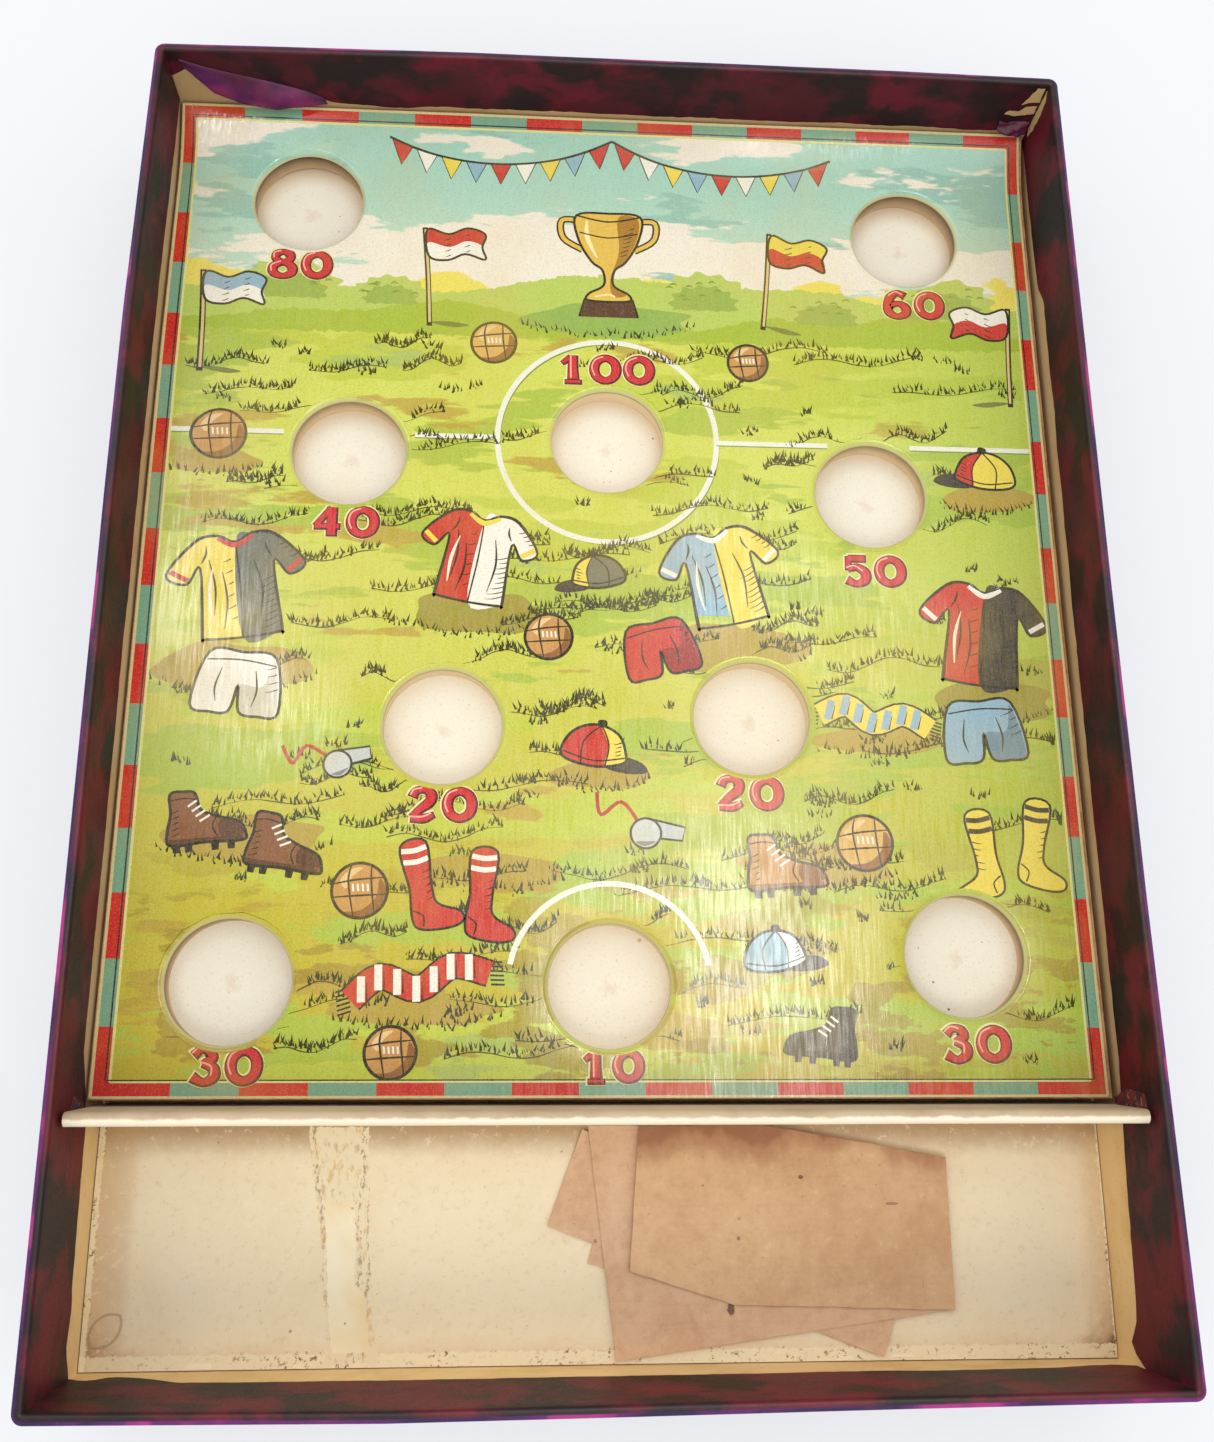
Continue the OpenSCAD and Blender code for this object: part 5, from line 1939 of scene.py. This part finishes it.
def make_tuft_tree():
    tree, given = field_tree("grass_tufts", Spacing="Float", Blade="Float", Seed="Int")
    curve = tap(tree, "GeometryNodeMeshToCurve", "Curve", {"Mesh": given["Geometry"]})
    spaced = {"Curve": curve, "Length": given["Spacing"]}
    spread = tap(tree, "GeometryNodeResampleCurve", "Curve", spaced, mode="LENGTH")
    points = tap(tree, "GeometryNodeCurveToPoints", "Points", {"Curve": spread}, mode="EVALUATED")
    cone = {"Vertices": 3, "Side Segments": 1, "Radius Top": 0.0, "Radius Bottom": 0.20, "Depth": 1.0}
    blade = tap(tree, "GeometryNodeMeshCone", "Mesh", cone)
    for change, amount in (("Rotation", (-math.pi / 2, 0.0, 0.0)), ("Scale", (1.0, 1.0, 0.02))):
        blade = tap(tree, "GeometryNodeTransform", "Geometry", {"Geometry": blade, change: amount})

    def scatter(reach, low, offset):
        limits = {2: low, 3: reach, "Seed": given["Seed"] + offset}
        return tap(tree, "FunctionNodeRandomValue", 1, limits, data_type="FLOAT")

    lean = tap(tree, "ShaderNodeCombineXYZ", "Vector", {"Z": scatter(0.55, -0.55, 1.0)})
    size = scatter(1.35, 0.5, 2.0) * given["Blade"]
    shifts = {"X": scatter(0.4 * MM, -0.4 * MM, 3.0), "Y": scatter(0.9 * MM, -0.9 * MM, 4.0)}
    shift = tap(tree, "ShaderNodeCombineXYZ", "Vector", shifts)
    moved = tap(tree, "GeometryNodeSetPosition", "Geometry", {"Geometry": points, "Offset": shift})
    blades = {"Points": moved, "Instance": coloured(blade, paint(56, 55, 20)), "Rotation": lean,
              "Scale": size}
    end_tree(tap(tree, "GeometryNodeInstanceOnPoints", "Instances", blades), given["Ink"])
    return tree


def tuft_paths():
    """The lines as one mesh of loose edges, without the parts that meet a pocket."""
    vertices, edges = [], []
    for line in tuft_lines:
        fine = curved([Vector(p) * MM for p in line], closed=False)
        for a, b in zip(fine, fine[1:]):
            if all((p - c.xy).length > KEEP_CLEAR + 2 * MM for c in pockets.values() for p in (a, b)):
                vertices += [(a.x, a.y, 0.0), (b.x, b.y, 0.0)]
                edges.append((len(vertices) - 2, len(vertices) - 1))
    mesh = bpy.data.meshes.new("tuft_paths")
    mesh.from_pydata(vertices, edges, [])
    return mesh


tufts = run_tree("grass_tufts", tuft_paths(), make_tuft_tree(), Spacing=TUFT_SPACING, Blade=2.0 * MM,
                 Seed=5)
for vertex in tufts.vertices:
    vertex.co.z += field_z + TUFT_LIFT
link_piece(settle(tufts), "grass_tufts", "playing_inset", None)
print("tuft triangles:", sum(len(p.vertices) - 2 for p in tufts.polygons))

# %% [markdown]
# ## The folded divider
# One strip of card, bent double, stands across the box and keeps the playing board from the
# compartment. Its fold is the rounded bright edge on top. It is carried along the width as
# the covers were, with a slow wave in it, because old card never stays quite straight.

# %% Divider
CARD_T = 1.1 * MM
DIVIDER_TOP = 3.2 * MM
divider_foot = divider_high.y - divider_low.y
divider_tall = divider_high.z - divider_low.z


def divider_section():
    """Outer and inner line of the bent card: y from its near face, and z."""
    fold_r = DIVIDER_TOP / 2
    spring = divider_high.z - fold_r
    fall = divider_low.z - spring
    outer = [(0.0, divider_low.z - fall * i / 8) for i in range(8)]
    outer += arc(fold_r, spring, fold_r, 180, 0, 12)
    outer += [(DIVIDER_TOP + (divider_foot - DIVIDER_TOP) * i / 8,
               spring + fall * i / 8) for i in range(1, 9)]
    inner = [(CARD_T, z) for y, z in outer[:8]]
    inner += arc(fold_r, spring, fold_r - CARD_T, 180, 0, 12)
    inner += [(y - CARD_T, z) for y, z in outer[21:]]
    return outer, inner


def make_divider():
    rows = []
    for x in np.linspace(divider_low.x - 0.8 * MM, divider_high.x, 90):
        bow = 0.10 * MM * bumps(x / 0.05, 2.0, 0.0)
        dent = 0.10 * MM * abs(bumps(x / 0.012, 4.0, 1.0))
        lines = []
        for line in divider_section():
            tops = [(y, z, max(0.0, (z - divider_low.z) / divider_tall)) for y, z in line]
            lines.append([(x, divider_low.y + y + bow * top, z - dent * top ** 6) for y, z, top in tops])
        rows.append([(*front, *back) for front, back in zip(*lines)])
    mesh = close_up(sheet_mesh("divider_card", rows), 50.0)
    link_piece(mesh, "divider_folded_card", "tray", divider_paper, ["divider_card"])


make_divider()
print("divider stands", round(divider_tall / MM, 1), "mm tall")

# %% [markdown]
# ## Torn and worn scraps
# A box this old has places where its papers have torn, peeled or stuck to each other. Each is
# a thin scrap with a ragged outline, laid on the floor or on a wall a hair above the paper
# that carries it. One helper makes them all: it turns an outline into a thin closed plate, and
# a small function says how a point of the drawing lies on its wall.

# %% Scrap helper


def ragged(points, step=0.9, rough=0.28, seed=1.0):
    """Splits an outline in millimetres into short steps and shakes them a little."""
    found = []
    for i, a in enumerate(points):
        a, b = Vector(a), Vector(points[(i + 1) % len(points)])
        parts = max(1, round((b - a).length / step))
        for k in range(parts):
            p = a.lerp(b, k / parts)
            found.append(p + Vector((bumps(p.x, p.y, seed), bumps(p.y, p.x, seed + 9))) * rough)
    return found


def scrap(name, points, lay, look, thick=0.08, rough=0.28, seed=1.0):
    """A thin ragged plate, in millimetres. lay puts a point and its height into the scene."""
    outline = ragged(points, rough=rough, seed=seed)
    flat = [tuple(f) for f in geometry.tessellate_polygon([[p.to_3d() for p in outline]])]
    vertices = [lay(p.x * MM, p.y * MM, height) for height in (thick * MM, 0.0) for p in outline]
    mesh = new_mesh(name, vertices, plate_skin(flat, len(outline)))
    return link_piece(bow_mesh(close_up(mesh)), name, "tray", look)


def on_floor(u, v, height):
    return (u, v, lining_top + height)


def on_far_wall(u, z, height):
    return (u, inner_y - height, z)


def on_right_wall(y, z, height):
    return (inner_x - height, y, z)


def on_left_wall(y, z, height):
    return (height - inner_x, y, z)


print("scrap helper is ready")

# %% Scraps in the box
# Name, wall, seed and outline in millimetres
BARE = [("far_right", on_far_wall, 3.0,
         [(117.4, 33.8), (118.8, 37.6), (119.8, 40.4), (121.8, 40.4), (122.1, 35.0), (119.9, 34.9)]),
        ("low_right", on_far_wall, 5.0, [(113.4, 29.8), (114.6, 31.2), (117.4, 31.0), (119.0, 33.0),
                                         (122.0, 33.4), (122.0, 30.4), (117.0, 29.2)]),
        ("right_wall", on_right_wall, 6.0,
         [(164.6, 27.5), (164.4, 33.0), (165.6, 38.5), (167.2, 40.0), (167.2, 24.5), (165.6, 23.4)])]
GLUED = [("right", on_right_wall, 7.0,
          [(-111.6, 17.0), (-111.9, 27.0), (-109.0, 34.0), (-105.8, 33.0), (-104.6, 24.0), (-106.5, 16.0)]),
         ("left", on_left_wall, 8.0, [(-111.6, 20.0), (-110.0, 30.0), (-106.0, 27.0), (-107.5, 18.0)])]
for start, table, look, slot in (("bare_patch_", BARE, strawboard, "strawboard"),
                                 ("glue_patch_", GLUED, marbled_scrap, "marbled_paper")):
    for name, wall, seed, outline in table:
        scrap(start + name, outline, wall, look, seed=seed)
print("scraps on the walls are in place")

# %% Worn strip on the floor
# Outlines of the strip's ragged border and of the pale paper inside it, in millimetres
STRIP = [(-74.4, -113.2), (-59.8, -113.2), (-59.0, -128.0), (-58.8, -142.0), (-57.0, -152.0),
         (-55.6, -166.6),
         (-68.0, -166.6), (-68.2, -158.0), (-69.2, -150.0), (-70.0, -140.0), (-71.6, -131.0),
         (-73.2, -124.0)]
PALE = [(-69.6, -130.4), (-62.6, -130.9), (-61.8, -140.0), (-61.9, -149.0), (-59.0, -151.5),
        (-57.8, -164.0),
        (-66.4, -164.6), (-67.2, -158.0), (-68.2, -150.0), (-68.8, -140.0)]
# Half of the flakes lie along the near wall and half along the left one
FLAKES = 16
BY_LEFT_WALL = FLAKES // 2
scrap("worn_strip_border", STRIP, on_floor, strip_border, 0.03, 0.8, 11.0)
scrap("worn_strip_paper", PALE, on_floor, strip_paper, 0.09, 0.7, 12.0)
flakes = random.Random(4)
for i in range(FLAKES):
    x, y = flakes.uniform(-112, 108), flakes.uniform(-167.2, -166.4)
    wide, tall = flakes.uniform(2, 7), flakes.uniform(0.4, 1.0)
    if i >= BY_LEFT_WALL:
        x, y = flakes.uniform(-122.2, -121.6), -160 + 46 * (i - BY_LEFT_WALL + flakes.random()) / BY_LEFT_WALL
        wide, tall = flakes.uniform(0.4, 0.8), flakes.uniform(1.5, 4)
    outline = [(x - wide / 2, y - 0.3), (x + wide / 2, y - 0.3), (x + wide * 0.4, y + tall),
               (x - wide * 0.3, y + tall * 0.7)]
    outline = [(max(-122.4, min(122.4, u)), max(-167.4, v)) for u, v in outline]
    scrap("edge_flake_" + str(i + 1), outline, on_floor, strip_paper, 0.10, 0.4, 20.0 + i)
print("worn strip and", FLAKES, "flakes are in place")

# %% [markdown]
# ## The torn flap
# At the far left the turned-in paper has come away from the wall and hangs over in a curl.
# It is a sheet between a root line on the wall and a ragged free edge, and the further a
# point is from the root, the more it bows out.

# %% Flap and crumpled bit
# Root and free edge along the far wall: x, height over the lining, and how far it stands out
FLAP_ROOT = [(-119.5, 36.0), (-114.0, 33.6), (-105.7, 30.8), (-96.0, 28.0), (-87.6, 25.1), (-82.4, 22.4)]
FLAP_FREE = [(-118.6, 33.0, 0.2), (-112.6, 25.4, 1.8), (-103.4, 21.8, 3.0), (-95.0, 21.6, 3.2),
             (-87.8, 21.6, 2.2), (-81.6, 20.8, 0.6)]
CRUMPLE_ROOT = [(113.0, 24.4), (115.6, 24.0), (118.4, 24.2), (121.8, 24.6)]
CRUMPLE_FREE = [(112.6, 22.4, 1.2), (115.4, 21.4, 2.6), (118.6, 21.2, 2.2), (121.6, 20.9, 1.0)]
WALL_GAP = 0.28 * MM


def along_table(table, share):
    """A point on a table of values, by the share of the way along it."""
    places = np.linspace(0.0, 1.0, len(table))
    return [float(np.interp(share, places, column)) for column in zip(*table)]


def curled_sheet(name, root, free, fold, wrap_at):
    """A sheet hanging from a root line on the far wall and bowing out towards a free edge."""
    rows = []
    for share in np.linspace(0.0, 1.0, 40):
        root_x, root_z = along_table(root, share)
        free_x, free_z, out = along_table(free, share)
        ripple = bumps(share * 6, 1.0, fold)
        row = []
        for t in np.linspace(0.0, 1.0, 10):
            bow = out * math.sin(t * 1.9) * (1.0 + 0.25 * ripple) + 0.12 * fold * math.sin(9 * t + 7 * share)
            x = root_x + (free_x - root_x) * t
            z = root_z + (free_z - root_z) * t + 0.3 * t * wander(x, fold, 0.8, 0.8)
            y = inner_y - WALL_GAP - max(0.0, bow) * MM
            front = (x * MM, y, lining_top + z * MM)
            back = (x * MM, y + 0.2 * MM, lining_top + z * MM + 0.05 * MM)
            row.append((*front, *back, x / 100 + wrap_at, z / 100, 0.44 + 0.12 * t))
        rows.append(row)
    mesh = bow_mesh(close_up(sheet_mesh(name, rows), 60.0))
    return link_piece(mesh, name, "tray", marbled)


flap = curled_sheet("torn_flap", FLAP_ROOT, FLAP_FREE, 1.0, 4.0)
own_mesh(flap)
crumple = curled_sheet("crumpled_scrap", CRUMPLE_ROOT, CRUMPLE_FREE, 3.0, 9.3)
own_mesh(crumple)
print("flap and crumpled scrap hang on the far wall")

# %% [markdown]
# ## Loose kraft slips
# Three slips of wrapping paper lie in the compartment: two plain ones and one folded double
# on top of them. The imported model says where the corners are. Each leaf is a triangulated
# sheet that rises and falls with one shared gentle wave, so that the stack keeps its order,
# and a leaf's free edge may curl up from the rest.

# %% Slip sheets
SLIP_CELL = 4.0 * MM


def leaf_corners(node, low_z, high_z):
    """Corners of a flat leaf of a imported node, in order round its middle."""
    spots = {}
    for vertex in frame["nodes"][node].data.vertices:
        if low_z - 0.02 * MM < vertex.co.z < high_z + 0.02 * MM:
            spots[(round(vertex.co.x, 4), round(vertex.co.y, 4))] = vertex.co.xy.copy()
    points = list(spots.values())
    middle = sum(points, Vector((0.0, 0.0))) / len(points)
    return sorted(points, key=lambda p: math.atan2(p.y - middle.y, p.x - middle.x))


def slip_wave(x, y):
    """Height of the stack's shared wave."""
    return 0.22 * MM * (0.5 + 0.5 * bumps(x / 0.028, y / 0.022, 4.0))


def leaf_mesh(name, corners, low_z, thick, curl=(0.0, 1.0, 0.0), cut=0.12):
    """A thin wavy sheet inside the corners. curl is the lift of its left edge: where that edge
    is, how far the lift reaches, and its height."""
    corners = [(p.x / MM, p.y / MM) for p in corners]
    outline = [p * MM for p in ragged(corners, step=2.0, rough=cut, seed=low_z / MM)]
    low_x, high_x = min(p.x for p in outline), max(p.x for p in outline)
    low_y, high_y = min(p.y for p in outline), max(p.y for p in outline)
    points = list(outline)
    for x in np.arange(low_x + SLIP_CELL, high_x, SLIP_CELL):
        points += [Vector((x, y)) for y in np.arange(low_y + SLIP_CELL, high_y, SLIP_CELL)]
    made = geometry.delaunay_2d_cdt(points, [], [list(range(len(outline)))], 1, 0.001 * MM)
    flat, faces = made[0], [tuple(f) for f in made[2]]
    edge_x, reach, height = curl
    rises = [height * held((edge_x + reach - p.x) / reach) ** 2 for p in flat]
    spots = [(p.x, p.y, low_z + slip_wave(p.x, p.y) + rise) for p, rise in zip(flat, rises)]
    vertices = [(x, y, z + thick) for x, y, z in spots] + spots
    return close_up(new_mesh(name, vertices, plate_skin(faces, len(flat))), 50.0)


for name in ("bottom_slip", "middle_slip"):
    low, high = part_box(name)
    mesh = leaf_mesh(name, leaf_corners(name, low.z, high.z), low.z, high.z - low.z)
    link_piece(mesh, name + "_paper", name, kraft_inner, [name])
print("kraft slips lie on", round(lining_top / MM, 2), "mm")

# %% Folded slip
KRAFT_T = 0.3 * MM
LOWER_CURL = (-5.9 * MM, 16 * MM, 0.25 * MM)
UPPER_CURL = (5 * MM, 22 * MM, 1.0 * MM)
folded_low, folded_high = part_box("folded_slip")
upper_z = folded_high.z - KRAFT_T
lower = leaf_corners("folded_slip", folded_low.z, folded_low.z + KRAFT_T)
upper = leaf_corners("folded_slip", upper_z, folded_high.z)


def fold_strip():
    """The bend that joins the two leaves at their right ends."""
    fold_x = max(p.x for p in upper)
    ends = [p.y for p in upper if abs(p.x - fold_x) < 1.5 * MM]
    middle_z = (folded_low.z + folded_high.z) / 2
    inner_r = (upper_z - folded_low.z - KRAFT_T) / 2
    rows = []
    for y in np.linspace(min(ends), max(ends), 20):
        base = middle_z + slip_wave(fold_x, y)
        outer, inner = (arc(fold_x - 0.35 * MM, base, radius, -90, 90,
                            8) for radius in (inner_r + KRAFT_T, inner_r))
        rows.append([(a, y, b, c, y, d) for (a, b), (c, d) in zip(outer, inner)])
    return close_up(sheet_mesh("fold_strip", rows), 60.0)


lower_leaf = leaf_mesh("lower_leaf", lower, folded_low.z, KRAFT_T, LOWER_CURL)
link_piece(lower_leaf, "folded_slip_lower_leaf", "folded_slip", kraft_inner, ["folded_slip"])
upper_leaf = leaf_mesh("upper_leaf", upper, upper_z, KRAFT_T, UPPER_CURL, cut=0.2)
link_piece(upper_leaf, "folded_slip_upper_leaf", "folded_slip", kraft_outer)
link_piece(fold_strip(), "folded_slip_bend", "folded_slip", kraft_outer)
print("folded slip: leaves with", len(lower), "and", len(upper), "corners")

# %% [markdown]
# ## Boards and papers that keep their shape
# The bottom, the risers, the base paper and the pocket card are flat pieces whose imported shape
# is already right. They only get their materials.

# %% Dress the plain nodes
RISERS = ["riser_" + place for place in ("left", "right", "far", "near", "middle")]
for look, names in ((strawboard, ["bottom_board", *RISERS]), (base_paper_look, ["base_paper"]),
                    (cream_card, ["pocket_card"])):
    for name in names:
        slots = frame["nodes"][name].data.materials
        slots.clear()
        slots.append(look)
print("dressed the plain nodes")

# %% [markdown]
# ## Floor, backdrop and light
# The game stands on a plain pale table in a soft white room. Three lamps are there for the
# varnish alone: they show as its pale sheens and light nothing else. A weak fill lamp at the
# near end lights the rest. The floor is part of the stage and not of the object.

# %% Stage
TABLE = (243, 245, 248)
ROOM_STRENGTH = 1.04
# Name, place, what it aims at, size, power, and whether it only shows as a sheen
LAMPS = [("window_right", (0.18, 0.03, 1.0), (0.03, -0.07, 0.0), (0.26, 0.22), 9.5, True),
         ("window_far", (0.25, 0.38, 1.0), (0.04, 0.02, 0.0), (0.30, 0.16), 3.5, True),
         ("window_left", (-0.37, 0.40, 1.0), (-0.11, 0.03, 0.0), (0.08, 0.45), 6.0, True),
         ("fill", (-0.08, -1.0, 1.2), (0.0, -0.08, 0.0), (0.8, 0.5), 3.5, False)]


def make_stage():
    """A floor that the camera sees as an even pale white, darkened only where the box shades it."""
    made = bpy.data.materials.new("pale_table")
    tree = emptied(made)
    matt = tap(tree, "ShaderNodeBsdfDiffuse", "BSDF", {"Color": TABLE})
    glow = tap(tree, "ShaderNodeEmission", "Emission", {"Color": TABLE, "Strength": 1.0})
    mixed = tap(tree, "ShaderNodeMixShader", "Shader", {0: 0.55, 1: matt, 2: glow})
    rays = add(tree, "ShaderNodeLightPath").outputs
    seen = maths("MAXIMUM", Wire(rays["Is Camera Ray"]), Wire(rays["Is Glossy Ray"]))
    seen = maths("MAXIMUM", seen, Wire(rays["Is Transmission Ray"]))
    both = tap(tree, "ShaderNodeMixShader", "Shader", {0: seen, 1: matt, 2: mixed})
    add(tree, "ShaderNodeOutputMaterial", {"Surface": both})
    bpy.ops.mesh.primitive_plane_add(size=6.0, location=(0.0, 0.0, 0.0))
    floor = bpy.context.object
    floor.name = "floor"
    floor.data.materials.append(made)
    floor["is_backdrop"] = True


def lamp(name, place, aim, size, power, sheen_only):
    light = bpy.data.lights.new(name, "AREA")
    light.shape = "RECTANGLE"
    light.size, light.size_y = size
    light.energy = power
    holder = bpy.data.objects.new(name, light)
    bpy.context.scene.collection.objects.link(holder)
    holder.location = place
    holder.rotation_mode = "QUATERNION"
    holder.rotation_quaternion = (Vector(aim) - Vector(place)).to_track_quat("-Z", "Y")
    holder.visible_diffuse = not sheen_only


def make_world():
    world = bpy.data.worlds.new("soft_room")
    tree = emptied(world)
    white = {"Color": (1.0, 1.0, 1.0, 1.0), "Strength": ROOM_STRENGTH}
    back = tap(tree, "ShaderNodeBackground", "Background", white)
    add(tree, "ShaderNodeOutputWorld", {"Surface": back})
    bpy.context.scene.world = world


make_stage()
make_world()
for row in LAMPS:
    lamp(*row)
bpy.context.scene.view_settings.view_transform = "Standard"
print("stage and lights are ready")

# %% Write the sizes and finish
low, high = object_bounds()
print("visual size in mm:", [round((high[i] - low[i]) / MM, 1) for i in range(3)])
